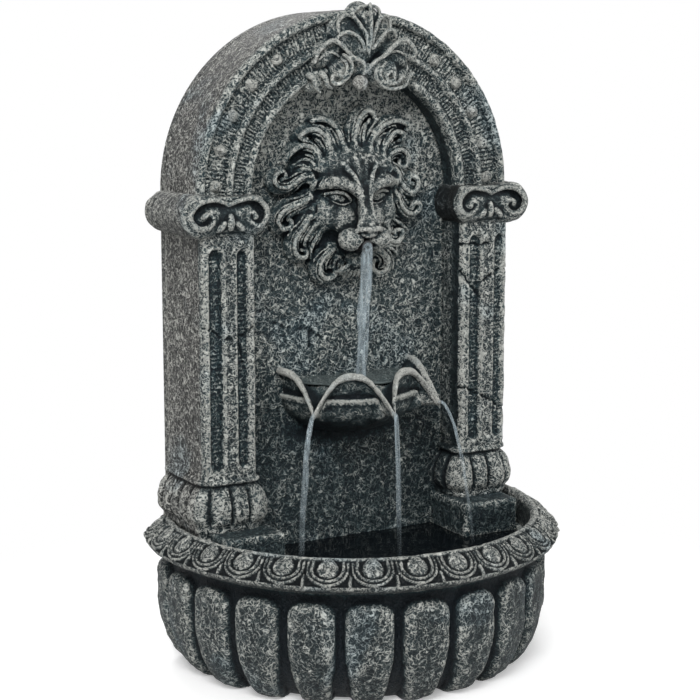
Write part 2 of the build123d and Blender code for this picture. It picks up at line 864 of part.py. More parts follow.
# Water line: barbed elbow in the lion's mouth, straight riser hose and its two clamps
riser_depth = (plate_thickness + panel_back) / 2
riser_y = out(riser_depth)
tail_bottom = mouth_height - spout_bend - spout_tail
with BuildPart() as spout_elbow:
    with BuildLine(Plane.YZ) as spout_line:
        Line((riser_y, tail_bottom), (riser_y, mouth_height - spout_bend))
        CenterArc((riser_y - spout_bend, mouth_height - spout_bend), spout_bend, 0, 90)
        Line((riser_y - spout_bend, mouth_height), (out(muzzle_front - spout_set_back), mouth_height))
    with BuildSketch(Plane.XY.offset(tail_bottom)):
        with Locations((0, riser_y)):
            Circle(spout_radius)
            Circle(spout_bore, mode=Mode.SUBTRACT)
    sweep(path=spout_line.line)
spout_elbow.part.label = "spout_elbow"
export_step(spout_elbow.part, "parts/spout_elbow.step")

pump_bottom = floor_thickness + cup_height
pump_top = pump_bottom + pump_height
nozzle_bottom = pump_top + nozzle_base_height
hose_bore = spout_radius + slip_clearance
hose_radius = hose_bore + hose_wall
hose_top = tail_bottom + hose_grip
with BuildPart() as riser_hose:
    with BuildSketch(Plane.XY.offset(nozzle_bottom)):
        with Locations((0, riser_y)):
            Circle(hose_radius)
            Circle(hose_bore, mode=Mode.SUBTRACT)
    extrude(amount=hose_top - nozzle_bottom)
riser_hose.part.label = "riser_hose"
export_step(riser_hose.part, "parts/riser_hose.step")

clamp_inner = hose_radius + clamp_clearance
clamp_outer = clamp_inner + clamp_wall
with BuildPart() as hose_clamps:
    for clamp_middle in (nozzle_bottom + hose_grip / 2, hose_top - hose_grip / 2):
        with BuildSketch(Plane.XY.offset(clamp_middle - clamp_height / 2)):
            with Locations((0, riser_y)):
                Circle(clamp_outer)
                with Locations((clamp_inner, 0)):
                    Rectangle(clamp_ear, clamp_ear, align=(Align.MIN, Align.CENTER))
                Circle(clamp_inner, mode=Mode.SUBTRACT)
        extrude(amount=clamp_height)
hose_clamps.part.label = "hose_clamps"
export_step(hose_clamps.part, "parts/hose_clamps.step")

# Pump: motor block with its rotor well, the rotor turns about the X axis
rotor_z = pump_bottom + rotor_height
pump_face = chamber_depth / 2
pump_middle_z = pump_bottom + pump_height / 2


def across(x):
    """Upright plane at an X, centred on the rotor's axis and drawn on from the strainer's side."""
    return Plane(origin=(x, riser_y, rotor_z), x_dir=(0, 1, 0), z_dir=(1, 0, 0))


well_end = -pump_face - well_length
seat_radius = bush_radius + pin_fit
with BuildPart() as pump_housing:
    with BuildSketch(across(pump_face)):
        with Locations((0, pump_middle_z - rotor_z)):
            RectangleRounded(pump_depth, pump_height, pump_round)
    extrude(amount=-pump_length)
    fillet(pump_housing.faces().sort_by(Axis.X)[0].edges(), pump_round / 2)
    with BuildSketch(across(pump_face)):
        Circle(chamber_radius)
    extrude(amount=-chamber_depth, mode=Mode.SUBTRACT)
    with BuildSketch(across(-pump_face)):
        Circle(well_radius)
    extrude(amount=-well_length, mode=Mode.SUBTRACT)
    with BuildSketch(across(well_end)):
        Circle(seat_radius)
    extrude(amount=-bush_length, mode=Mode.SUBTRACT)
    with BuildSketch(Plane.XY.offset(rotor_z)):
        with Locations((0, riser_y)):
            Circle(spout_bore)
    extrude(amount=pump_height, mode=Mode.SUBTRACT)
pump_housing.part.label = "pump_housing"
export_step(pump_housing.part, "parts/pump_housing.step")

with BuildPart() as outlet_nozzle:
    with BuildSketch(Plane.XY.offset(pump_top)):
        with Locations((0, riser_y)):
            Circle(nozzle_base_radius)
    extrude(amount=nozzle_base_height)
    with BuildSketch(Plane.XY.offset(nozzle_bottom)):
        with Locations((0, riser_y)):
            Circle(spout_radius)
    extrude(amount=hose_grip)
    with BuildSketch(Plane.XY.offset(pump_top)):
        with Locations((0, riser_y)):
            Circle(spout_bore)
    extrude(amount=nozzle_base_height + hose_grip, mode=Mode.SUBTRACT)
outlet_nozzle.part.label = "outlet_nozzle"
export_step(outlet_nozzle.part, "parts/outlet_nozzle.step")

hub_radius = seat_radius + hub_wall
with BuildPart() as chamber_cover:
    with BuildSketch(across(pump_face)):
        with Locations((0, pump_middle_z - rotor_z)):
            RectangleRounded(pump_depth, pump_height, pump_round)
        Circle(inlet_radius, mode=Mode.SUBTRACT)
        Circle(hub_radius)
        with PolarLocations(0, spider_count, start_angle=90):
            Rectangle(inlet_radius, spider_width, align=(Align.MIN, Align.CENTER))
        Circle(seat_radius, mode=Mode.SUBTRACT)
    extrude(amount=cover_thickness)
chamber_cover.part.label = "chamber_cover"
export_step(chamber_cover.part, "parts/chamber_cover.step")

with BuildPart() as shaft_bushes:
    with BuildSketch(across(well_end - bush_length)):
        Circle(bush_radius)
        Circle(pin_radius + pin_fit, mode=Mode.SUBTRACT)
    extrude(amount=bush_length)
    with BuildSketch(across(pump_face)):
        Circle(bush_radius)
        Circle(pin_radius + pin_fit, mode=Mode.SUBTRACT)
    extrude(amount=cover_thickness)
shaft_bushes.part.label = "shaft_bushes"
export_step(shaft_bushes.part, "parts/shaft_bushes.step")

with BuildPart() as impeller_shaft:
    with BuildSketch(across(well_end - bush_length)):
        Circle(pin_radius)
    extrude(amount=pump_face + cover_thickness - well_end + bush_length)
impeller_shaft.part.label = "impeller_shaft"
export_step(impeller_shaft.part, "parts/impeller_shaft.step")

magnet_radius = well_radius - rotor_clearance
magnet_start = well_end + bush_gap
magnet_end = -pump_face + vane_gap
vane_reach = chamber_radius - vane_clearance
with BuildPart() as impeller:
    with BuildSketch(across(magnet_start)):
        Circle(magnet_radius)
    extrude(amount=magnet_end - magnet_start)
    with BuildSketch(across(magnet_end)):
        Circle(hub_radius)
        with PolarLocations(0, vane_count):
            Rectangle(vane_reach, vane_thickness, align=(Align.MIN, Align.CENTER))
    extrude(amount=pump_face - vane_gap - magnet_end)
    with BuildSketch(across(magnet_start)):
        Circle(pin_radius + pin_fit)
    extrude(amount=pump_length, mode=Mode.SUBTRACT)
impeller.part.label = "impeller"
export_step(impeller.part, "parts/impeller.step")

strainer_start = pump_face + cover_thickness + strainer_fit
strainer_end = strainer_start + strainer_length
slot_rows = pump_height / 2 - slot_margin / 2
slot_length = slot_rows - slot_margin - dial_stem_radius
with BuildPart() as strainer:
    with BuildSketch(across(strainer_start)):
        with Locations((0, pump_middle_z - rotor_z)):
            RectangleRounded(pump_depth, pump_height, pump_round)
    extrude(amount=strainer_length)
    with BuildSketch(across(strainer_start)):
        with Locations((0, pump_middle_z - rotor_z)):
            RectangleRounded(
                pump_depth - 2 * strainer_wall,
                pump_height - 2 * strainer_wall,
                pump_round - strainer_wall,
            )
    extrude(amount=strainer_length - strainer_wall, mode=Mode.SUBTRACT)
    with BuildSketch(across(strainer_end)):
        with Locations((0, pump_middle_z - rotor_z)):
            with GridLocations(slot_pitch, slot_rows, slot_count, 2):
                SlotOverall(slot_length, slot_width, rotation=90)
            Circle(dial_stem_radius + dial_stem_fit)
    extrude(amount=-strainer_wall, mode=Mode.SUBTRACT)
strainer.part.label = "strainer"
export_step(strainer.part, "parts/strainer.step")

with BuildPart() as flow_regulator:
    with BuildSketch(across(strainer_end + dial_gap)):
        with Locations((0, pump_middle_z - rotor_z)):
            Circle(dial_radius)
            Rectangle(dial_radius + dial_pointer, 2 * dial_stem_radius, align=(Align.MIN, Align.CENTER))
    extrude(amount=dial_thickness)
    with BuildSketch(across(strainer_end + dial_gap)):
        with Locations((0, pump_middle_z - rotor_z)):
            Circle(dial_stem_radius)
    extrude(amount=-strainer_wall - 2 * dial_gap)
flow_regulator.part.label = "flow_regulator"
export_step(flow_regulator.part, "parts/flow_regulator.step")

with BuildPart() as suction_cups:
    with Locations((pump_face - pump_length / 2, riser_y, floor_thickness)):
        with GridLocations(pump_length - 2 * cup_inset, pump_depth - 2 * cup_inset, 2, 2):
            Cone(
                cup_radius,
                cup_neck_radius,
                cup_height,
                align=(Align.CENTER, Align.CENTER, Align.MIN),
            )
suction_cups.part.label = "suction_cups"
export_step(suction_cups.part, "parts/suction_cups.step")

with BuildPart() as pump_gland:
    with BuildSketch(across(pump_face - pump_length)):
        Circle(gland_radius)
        Circle(gland_bore, mode=Mode.SUBTRACT)
    extrude(amount=-gland_length)
pump_gland.part.label = "pump_gland"
export_step(pump_gland.part, "parts/pump_gland.step")
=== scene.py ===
import json
from math import cos, pi, radians, sin

import bpy
import numpy as np
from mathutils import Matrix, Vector


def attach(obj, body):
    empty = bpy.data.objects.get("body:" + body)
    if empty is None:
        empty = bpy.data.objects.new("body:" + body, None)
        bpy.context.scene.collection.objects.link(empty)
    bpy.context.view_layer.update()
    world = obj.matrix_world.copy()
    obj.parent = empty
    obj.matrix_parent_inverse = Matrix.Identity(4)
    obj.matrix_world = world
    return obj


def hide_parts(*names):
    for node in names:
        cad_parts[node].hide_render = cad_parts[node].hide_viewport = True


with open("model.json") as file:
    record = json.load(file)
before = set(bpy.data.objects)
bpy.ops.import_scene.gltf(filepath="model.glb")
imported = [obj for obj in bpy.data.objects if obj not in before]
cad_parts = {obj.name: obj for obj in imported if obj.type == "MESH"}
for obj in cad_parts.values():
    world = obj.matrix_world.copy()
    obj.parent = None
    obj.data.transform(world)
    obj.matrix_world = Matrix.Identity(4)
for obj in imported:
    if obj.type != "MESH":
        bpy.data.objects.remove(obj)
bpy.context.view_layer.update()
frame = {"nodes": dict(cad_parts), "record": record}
scene = bpy.context.scene

# Points are worked out in millimetres as x, depth in front of the wall, and height.
MM = 0.001
WALL = 131.0
BODY = "fountain"

# Sizes shared with the solids
AXIS_DEPTH = 66.0
BOWL_RADIUS = 173.0
BOWL_TOP = 107.0
SHOULDER = 62.0
FOOT_RADIUS = 132.0
RIM_RADIUS = 196.0
RIM_INNER = 168.0
RIM_TOP = 135.5
PLINTH_TOP = 136.0
BASE_TOP = 184.0
SHAFT_TOP = 399.0
SPRING = 434.0
BODY_HALF = 160.0
NICHE_HALF = 108.0
PANEL_DEPTH = 54.0
SHAFT_DEPTH = 87.0
WATER_LEVEL = 105.0
# Depth at which the moulded front meets the flat back plate
PLATE_FACE = 8.2

# Rows and columns of the larger meshes
BASIN_COLUMNS, RIM_COLUMNS, ARCH_COLUMNS = 330, 520, 420
PANEL_ROWS, PANEL_COLUMNS = 200, 90
SHAFT_ROWS = 118
POOL_ROWS, POOL_COLUMNS = 60, 110
STREAM_ROWS, STREAM_COLUMNS = 60, 18


# Numbers and noise


def lattice(cell, seed):
    """Scattered value from -1 to 1 for each whole-number cell."""
    n = (cell[..., 0] * 73856093) ^ (cell[..., 1] * 19349663) ^ (cell[..., 2] * 83492791) ^ (seed * 39916801)
    n = n & 0xFFFFFFFF
    n = ((n ^ (n >> 13)) * 1274126177) & 0xFFFFFFFF
    n = ((n ^ (n >> 16)) * 668265263) & 0xFFFFFFFF
    return (n ^ (n >> 15)) / 2147483647.5 - 1.0


def noise(points, size, seed=0):
    """Smooth noise from -1 to 1 with bumps of about the given size."""
    q = np.asarray(points, float) / size
    cell = np.floor(q).astype(np.int64)
    f = q - cell
    w = f * f * f * (f * (f * 6 - 15) + 10)
    total = np.zeros(q.shape[:-1])
    for corner in range(8):
        o = np.array([corner & 1, corner >> 1 & 1, corner >> 2 & 1])
        weight = np.prod(np.where(o == 1, w, 1 - w), axis=-1)
        total += weight * lattice(cell + o, seed)
    return total


def hammered(points, amount, seed):
    """Depth of the hammered casting: worm-like ridges over shallow swells."""
    p = np.asarray(points, float)
    bend = np.stack([noise(p, 9.0, seed + k) for k in (5, 6, 7)], -1)
    ridge = 1 - 2 * np.abs(noise(p + 3.0 * bend, 8.0, seed + 1))
    return amount * (0.5 * ridge + 0.35 * noise(p, 5.0, seed + 2) + 0.5 * noise(p, 22.0, seed + 3))


def smooth_step(a, b, x):
    t = np.clip((x - a) / (b - a), 0, 1)
    return t * t * (3 - 2 * t)


def hump(x, middle, width):
    """Rounded ridge of height 1 across a line."""
    return np.exp(-(((x - middle) / width) ** 2))


def spline(points, count):
    """Points spread along a smooth curve through the given ones."""
    p = np.asarray(points, float)
    ext = np.vstack([2 * p[0] - p[1], p, 2 * p[-1] - p[-2]])
    t = np.linspace(0, len(p) - 1 - 1e-9, count)
    i = t.astype(int)
    f = (t - i)[:, None]
    a, b, c, d = ext[i], ext[i + 1], ext[i + 2], ext[i + 3]
    return 0.5 * (2 * b + (c - a) * f + (2 * a - 5 * b + 4 * c - d) * f**2 + (3 * b - a - 3 * c + d) * f**3)


def along(values, count):
    """Values spread evenly over a number of steps."""
    return np.interp(np.linspace(0, 1, count), np.linspace(0, 1, len(values)), values)


def run_of(points):
    """Distance of each point of a polyline from its start."""
    return np.concatenate([[0], np.cumsum(np.linalg.norm(np.diff(points, axis=0), axis=1))])


def resample(points, step, closed=False):
    """Points at an even spacing along a polyline."""
    p = np.asarray(points, float)
    if closed:
        p = np.vstack([p, p[:1]])
    run = run_of(p)
    count = max(2, int(round(run[-1] / step)) + 1)
    s = np.linspace(0, run[-1], count)
    out = np.stack([np.interp(s, run, p[:, k]) for k in range(p.shape[1])], -1)
    return out[:-1] if closed else out


def softened(points, rounds):
    """Closed polyline with its corners rounded."""
    p = points
    for _ in range(rounds):
        p = 0.5 * p + 0.25 * (np.roll(p, 1, 0) + np.roll(p, -1, 0))
    return p


# Meshes


def grid_faces(rows, columns, close_rows=False, close_columns=False):
    i = np.arange(rows if close_rows else rows - 1)
    j = np.arange(columns if close_columns else columns - 1)
    a, b = np.meshgrid(i, j, indexing="ij")
    a2, b2 = (a + 1) % rows, (b + 1) % columns
    corners = [a * columns + b, a * columns + b2, a2 * columns + b2, a2 * columns + b]
    return np.stack(corners, -1).reshape(-1, 4)


def grid_quads(points, closed):
    """Quads over a grid with closed rows or columns, and the polygons that shut its two ends."""
    rows, columns = points.shape[:2]
    if closed == "rows":
        end = np.arange(rows) * columns
        caps = [end, end[::-1] + columns - 1]
    else:
        end = np.arange(columns)
        caps = [end, end[::-1] + (rows - 1) * columns]
    return grid_faces(rows, columns, closed == "rows", closed == "columns"), [cap.tolist() for cap in caps]


def edge_pairs(faces):
    pairs = np.vstack([faces[:, [k, (k + 1) % 4]] for k in range(4)])
    pairs = np.unique(np.sort(pairs, axis=1), axis=0)
    return pairs[pairs[:, 0] != pairs[:, 1]]


def averaged(points, pairs, rounds):
    """Points drawn towards their neighbours, a number of times."""
    a, b = pairs[:, 0], pairs[:, 1]
    n = len(points)
    degree = np.maximum(np.bincount(a, minlength=n) + np.bincount(b, minlength=n), 1)
    p = points.copy()
    for _ in range(rounds):
        sums = [np.bincount(a, p[b, k], n) + np.bincount(b, p[a, k], n) for k in range(3)]
        p = 0.4 * p + 0.6 * (np.stack(sums, -1) / degree[:, None])
    return p


def normals(points, faces):
    n = np.cross(points[faces[:, 2]] - points[faces[:, 0]], points[faces[:, 3]] - points[faces[:, 1]])
    sums = [sum(np.bincount(faces[:, k], n[:, c], len(points)) for k in range(4)) for c in range(3)]
    total = np.stack(sums, -1)
    return total / np.maximum(np.linalg.norm(total, axis=1), 1e-12)[:, None]


def outward(points, faces):
    """Quads turned so that the closed mesh faces outwards, with x, depth and height as axes."""
    a, b, c, d = (points[faces[:, k]] for k in range(4))
    volume = np.einsum("ij,ij->i", a, np.cross(b, c)).sum() + np.einsum("ij,ij->i", a, np.cross(c, d)).sum()
    return faces[:, ::-1] if volume < 0 else faces


def grown(points, faces, amount, level=False):
    """Points moved out from the surface, or only sideways where level, by an amount in millimetres."""
    flat = points.reshape(-1, 3)
    n = normals(flat, outward(flat, faces)).reshape(points.shape)
    if level:
        n[..., 2] = 0
    return points + n * amount[..., None]


# Reach of the two scales of relief, and the height that counts as fully proud on each
NEAR_REACH, FAR_REACH = 2.6, 7.0
NEAR_PROUD, FAR_PROUD = 0.55, 1.3


def relief_of(points, faces, spacing):
    """How far each point stands proud of its surroundings, over a narrow and a wide reach."""
    pairs = edge_pairs(faces)
    n = normals(points, faces)
    near = averaged(points, pairs, max(3, int((NEAR_REACH / spacing) ** 2 * 2)))
    far = averaged(near, pairs, max(6, int((FAR_REACH / spacing) ** 2)))
    proud_near = np.einsum("ij,ij->i", n, points - near)
    proud_far = np.einsum("ij,ij->i", n, near - far)
    return np.clip(proud_near / NEAR_PROUD, -1, 1) * 0.6 + np.clip(proud_far / FAR_PROUD, -1, 1) * 0.4


def piece(
    name, points, faces, material, nodes=(), spacing=2.0, painted_shade=0.0, warm=0.0, caps=(), slot="cast_stone"
):
    """Mesh object that rides on the fountain and stands for the given nodes."""
    shape = points.shape[:-1]
    points = points.reshape(-1, 3)
    faces = outward(points, faces)
    x, depth, height = points.T
    places = np.stack([x, WALL - depth, height], -1) * MM
    mesh = bpy.data.meshes.new(name)
    mesh.from_pydata(places.tolist(), [], faces[:, ::-1].tolist() + list(caps))
    mesh.validate()
    # Each point carries its painted shade, which paints highlight where it is below zero
    looks = {"relief": relief_of(points, faces, spacing).reshape(shape), "painted_shade": painted_shade, "warm": warm}
    for key, value in looks.items():
        spread = np.broadcast_to(value, shape).reshape(-1).astype(np.float32)
        mesh.attributes.new(key, "FLOAT", "POINT").data.foreach_set("value", spread)
    mesh.materials.append(material)
    mesh.shade_smooth()
    obj = bpy.data.objects.new(name, mesh)
    scene.collection.objects.link(obj)
    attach(obj, BODY)
    if nodes:
        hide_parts(*nodes)


def grid_piece(name, points, closed, *looks, **settings):
    """Piece over a grid of points with closed rows or columns."""
    faces, caps = grid_quads(points, closed)
    piece(name, points, faces, *looks, caps=caps, **settings)


class Clay:
    """Block of sampled distances that forms are joined to and cut from."""

    def __init__(self, low, high, step):
        self.low = np.array(low, float)
        self.step = step
        self.size = np.ceil((np.array(high) - self.low) / step).astype(int) + 1
        self.field = np.full(self.size, 50.0)

    def change(self, distance, low, high, blend, cut=False):
        """Join a form, given by its distances and its box, or cut it out."""
        reach = 2 * self.step
        a = np.floor((np.array(low) - blend - reach - self.low) / self.step).astype(int)
        b = np.ceil((np.array(high) + blend + reach - self.low) / self.step).astype(int) + 1
        a, b = np.clip(a, 0, self.size), np.clip(b, 0, self.size)
        if (b <= a).any():
            return
        axes = [self.low[k] + self.step * np.arange(a[k], b[k]) for k in range(3)]
        d = distance(*np.meshgrid(*axes, indexing="ij"))
        spot = tuple(slice(a[k], b[k]) for k in range(3))
        old = self.field[spot]
        if cut:
            h = np.maximum(blend - np.abs(old + d), 0) / blend
            self.field[spot] = np.maximum(old, -d) + h * h * blend / 4
        else:
            h = np.maximum(blend - np.abs(old - d), 0) / blend
            self.field[spot] = np.minimum(old, d) - h * h * blend / 4

    def egg(self, centre, radii, blend=3.0, turn=0.0, cut=False):
        """Ellipsoid, turned in the upright plane by an angle in degrees."""
        c, r = np.array(centre, float), np.array(radii, float)
        ca, sa = cos(radians(turn)), sin(radians(turn))

        def distance(x, y, z):
            u = (x - c[0]) * ca + (z - c[2]) * sa
            w = -(x - c[0]) * sa + (z - c[2]) * ca
            k0 = np.sqrt((u / r[0]) ** 2 + ((y - c[1]) / r[1]) ** 2 + (w / r[2]) ** 2)
            k1 = np.sqrt((u / r[0] ** 2) ** 2 + ((y - c[1]) / r[1] ** 2) ** 2 + (w / r[2] ** 2) ** 2)
            return k0 * (k0 - 1) / np.maximum(k1, 1e-6)

        reach = np.array([max(r[0], r[2]), r[1], max(r[0], r[2])]) if turn else r
        self.change(distance, c - reach, c + reach, blend, cut)

    def tube(self, points, radii, blend=2.0, count=24, cut=False):
        """Round rod along a smooth curve, with radii spread along it."""
        p = spline(points, count)
        r = along(radii, count)

        def distance(x, y, z):
            best = np.full(x.shape, 1e3)
            for k in range(count - 1):
                a, ab = p[k], p[k + 1] - p[k]
                t = ((x - a[0]) * ab[0] + (y - a[1]) * ab[1] + (z - a[2]) * ab[2]) / max(ab @ ab, 1e-9)
                t = np.clip(t, 0, 1)
                off = [v - a[i] - t * ab[i] for i, v in enumerate((x, y, z))]
                gap = np.sqrt(off[0] ** 2 + off[1] ** 2 + off[2] ** 2)
                best = np.minimum(best, gap - (r[k] + t * (r[k + 1] - r[k])))
            return best

        self.change(distance, p.min(0) - max(radii), p.max(0) + max(radii), blend, cut)

    def block(self, low, high, round_edge=2.0, blend=2.0):
        c, half = (np.array(low, float) + high) / 2, (np.array(high, float) - low) / 2 - round_edge

        def distance(x, y, z):
            q = [np.abs(v - c[k]) - half[k] for k, v in enumerate((x, y, z))]
            outside = np.sqrt(sum(np.maximum(v, 0) ** 2 for v in q))
            return outside + np.minimum(np.maximum(np.maximum(q[0], q[1]), q[2]), 0) - round_edge

        self.change(distance, low, high, blend)

    def rod(self, x, z, radius, depth_low, depth_high, round_edge=2.0, blend=2.0):
        """Cylinder that runs straight out from the wall."""
        c, half = (depth_low + depth_high) / 2, (depth_high - depth_low) / 2 - round_edge

        def distance(px, py, pz):
            radial = np.hypot(px - x, pz - z) - radius + round_edge
            lengthwise = np.abs(py - c) - half
            outside = np.hypot(np.maximum(radial, 0), np.maximum(lengthwise, 0))
            return outside + np.minimum(np.maximum(radial, lengthwise), 0) - round_edge

        low, high = (x - radius, depth_low, z - radius), (x + radius, depth_high, z + radius)
        self.change(distance, low, high, blend)

    def keep_in_front(self, depth):
        axis = self.low[1] + self.step * np.arange(self.size[1])
        self.field = np.maximum(self.field, (depth - axis)[None, :, None])

    def mesh(self):
        """Quads through the zero level."""
        f = self.field.copy()
        for k in range(3):
            edge = [slice(None)] * 3
            for end in (0, -1):
                edge[k] = end
                f[tuple(edge)] = np.maximum(f[tuple(edge)], 0.2)
        inside = f < 0
        n = np.array(f.shape) - 1
        corners = [(c & 1, c >> 1 & 1, c >> 2 & 1) for c in range(8)]
        boxes = [tuple(slice(o[k], o[k] + n[k]) for k in range(3)) for o in corners]
        held = sum(inside[box].astype(np.int8) for box in boxes)
        cells = np.argwhere((held > 0) & (held < 8))
        number = np.full(n, -1, np.int64)
        number[tuple(cells.T)] = np.arange(len(cells))
        total, count = np.zeros((len(cells), 3)), np.zeros(len(cells))
        for o in corners:
            for k in range(3):
                if o[k]:
                    continue
                e = np.array(o)
                e[k] = 1
                a, b = f[tuple((cells + o).T)], f[tuple((cells + e).T)]
                cross = (a < 0) != (b < 0)
                t = np.where(cross, a / np.where(cross, a - b, 1), 0)
                spot = np.array(o, float) + t[:, None] * (e - np.array(o))
                total += np.where(cross[:, None], spot, 0)
                count += cross
        points = self.low + self.step * (cells + total / count[:, None])
        quads = []
        for k in range(3):
            u, v = (k + 1) % 3, (k + 2) % 3
            low = [slice(None)] * 3
            high = [slice(None)] * 3
            low[k], high[k] = slice(0, -1), slice(1, None)
            a, b = inside[tuple(low)], inside[tuple(high)]
            spots = np.argwhere(a != b)
            spots = spots[(spots[:, u] > 0) & (spots[:, v] > 0) & (spots[:, u] < n[u]) & (spots[:, v] < n[v])]
            first = a[tuple(spots.T)]
            du, dv = np.eye(3, dtype=int)[u], np.eye(3, dtype=int)[v]
            ring = [number[tuple((spots - s).T)] for s in (du + dv, dv, np.zeros(3, int), du)]
            quad = np.stack(ring, -1)
            quads.append(np.where(first[:, None], quad, quad[:, ::-1]))
        faces = np.vstack(quads)
        return averaged(points, edge_pairs(faces), 1), faces


# Shader nodes


class Value:
    """What a node puts out, so that a look can be written as a formula."""

    def __init__(self, tree, socket):
        self.tree = tree
        self.socket = socket

    def formula(self, operation, first, second):
        return add(self.tree, "ShaderNodeMath", {0: first, 1: second}, operation=operation)

    def __add__(self, other):
        return self.formula("ADD", self, other)

    def __sub__(self, other):
        return self.formula("SUBTRACT", self, other)

    def __rsub__(self, other):
        return self.formula("SUBTRACT", other, self)

    def __mul__(self, other):
        return self.formula("MULTIPLY", self, other)

    __radd__ = __add__
    __rmul__ = __mul__

    def __abs__(self):
        return self.formula("ABSOLUTE", self, 0.0)

    def at_least(self, low):
        return self.formula("MAXIMUM", self, low)

    def at_most(self, high):
        return self.formula("MINIMUM", self, high)

    def ranged(self, low, high, to_low, to_high, kind="LINEAR"):
        limits = {"Value": self, "From Min": low, "From Max": high, "To Min": to_low, "To Max": to_high}
        return add(self.tree, "ShaderNodeMapRange", limits, interpolation_type=kind)

    def coloured(self, stops):
        """Colour that follows the value through stops of position and colour."""
        n = self.tree.nodes.new("ShaderNodeValToRGB")
        elements = n.color_ramp.elements
        for k in (0, -1):
            elements[k].position = stops[k][0]
            elements[k].color = (*stops[k][1], 1)
        for position, colour in stops[1:-1]:
            elements.new(position).color = (*colour, 1)
        fill(n, {0: self})
        return Value(self.tree, n.outputs[0])


def fill(node, inputs):
    """Link or set a node's inputs, given by name or number."""
    for key, value in inputs.items():
        if isinstance(value, Value):
            value.tree.links.new(value.socket, node.inputs[key])
        else:
            node.inputs[key].default_value = value


def add(tree, kind, inputs=None, output=0, **settings):
    """New node, as the value that it puts out."""
    n = tree.nodes.new(kind)
    for key, value in settings.items():
        setattr(n, key, value)
    fill(n, inputs or {})
    return Value(tree, n.outputs[output])


def surface(name):
    """New material, its node tree, its shader and the place on the object that its textures follow."""
    material = bpy.data.materials.new(name)
    material.use_nodes = True
    tree = material.node_tree
    return material, tree, tree.nodes["Principled BSDF"], add(tree, "ShaderNodeTexCoord", output="Object")


def speckle(place, scale, detail, roughness=0.5, distortion=0.0):
    grain = {"Scale": scale, "Detail": detail, "Roughness": roughness, "Distortion": distortion}
    return add(place.tree, "ShaderNodeTexNoise", {"Vector": place, **grain}, "Fac")


def stretched(place, scale):
    return add(place.tree, "ShaderNodeMapping", {"Vector": place, "Scale": scale})


def bumps(height, strength, distance):
    return add(height.tree, "ShaderNodeBump", {"Height": height, "Strength": strength, "Distance": distance})


def mixed(share, first, second, blend="MIX"):
    inputs = {0: share, 6: first, 7: second}
    return add(first.tree, "ShaderNodeMix", inputs, 2, data_type="RGBA", blend_type=blend)


def shaded(colour, share):
    return tuple(share * c for c in colour)


# Materials
SLATE = [
    (0.0, (0.006, 0.011, 0.015)),
    (0.25, (0.016, 0.033, 0.039)),
    (0.45, (0.049, 0.079, 0.085)),
    (0.68, (0.176, 0.214, 0.213)),
    (1.0, (0.60, 0.62, 0.58)),
]
ASH = [
    (0.0, (0.010, 0.011, 0.011)),
    (0.25, (0.027, 0.028, 0.027)),
    (0.45, (0.076, 0.078, 0.074)),
    (0.68, (0.22, 0.222, 0.212)),
    (1.0, (0.60, 0.60, 0.56)),
]
BLUE_WASH = (0.62, 0.92, 1.16, 1.0)


def stone_material(name, plain=None, carved=False):
    """Dark slate base coat with pale dry-brushed ridges; carved work is brushed along its edges."""
    material, tree, shader, place = surface(name)

    def ridges(value, sharp):
        """Thin lines along the middle value of a noise."""
        return (1.0 - abs(value - 0.5) * sharp).at_least(0.0)

    def attribute(key):
        settings = {"attribute_type": "GEOMETRY", "attribute_name": key}
        return add(tree, "ShaderNodeAttribute", output="Fac", **settings)

    coarse = ridges(speckle(place, 220.0 if carved else 200.0, 2.0, 0.5, 0.6), 14.5)
    fine = ridges(speckle(place, 430.0 if carved else 400.0, 1.0, 0.5, 0.5), 13.0)
    grit = speckle(place, 1000.0, 2.0, 0.6)
    clouds = speckle(place, 14.0, 2.0)
    patches = 0.5 + speckle(place, 70.0, 2.0) * 0.95
    worms = coarse.at_least(fine * 0.6) * patches
    if plain is None:
        relief, painted_shade, warm = attribute("relief"), attribute("painted_shade"), attribute("warm")
    else:
        relief, painted_shade, warm = 0.0, 0.0, plain
    # Weight of the brushed lines, tone of a proud edge, base tone, and how much painted shade darkens
    weight, edge, base, shade_darkening = (0.95, 0.50, 0.17, 0.24) if carved else (1.10, 0.28, 0.11, 0.17)
    # Painted shade darkens the tone; below zero it paints highlight
    tone = (worms * weight + (grit - 0.5) * 0.7) * (1.0 - painted_shade * 0.62)
    if carved:
        tone = tone * (0.78 + relief * 0.7).at_least(0.2).at_most(1.1)
    tone = tone + relief * (edge + worms * 0.40) - painted_shade * shade_darkening + (clouds - 0.5) * 0.22 + base
    blue = speckle(place, 17.0, 2.0, 0.5, 0.6).ranged(0.54, 0.72, 0.0, 0.3, "SMOOTHSTEP")
    brushed = mixed(warm, tone.coloured(SLATE), tone.coloured(ASH))
    fill(shader, {
        "Base Color": mixed(blue, brushed, BLUE_WASH, "MULTIPLY"),
        "Normal": bumps(worms * 0.8 + grit * 0.3, 1.0, 0.0017),
        "Roughness": tone.ranged(0.0, 1.0, 0.5, 0.9),
        "Specular IOR Level": 0.22,
    })
    return material


def moulded_material(name, colour, rough, grain, stretch=(1.0, 1.0, 1.0), metal=0.0):
    """Plastic, rubber or metal with a fine grain in its colour, gloss and surface."""
    material, tree, shader, place = surface(name)
    grains = speckle(stretched(place, stretch), grain, 3.0, 0.6)
    fill(shader, {
        "Base Color": grains.coloured([(0.3, shaded(colour, 0.72)), (0.7, shaded(colour, 1.12))]),
        "Roughness": grains.ranged(0.0, 1.0, rough - 0.12, rough + 0.12),
        "Normal": bumps(grains, 0.25, 0.0004),
        "Metallic": metal,
    })
    return material


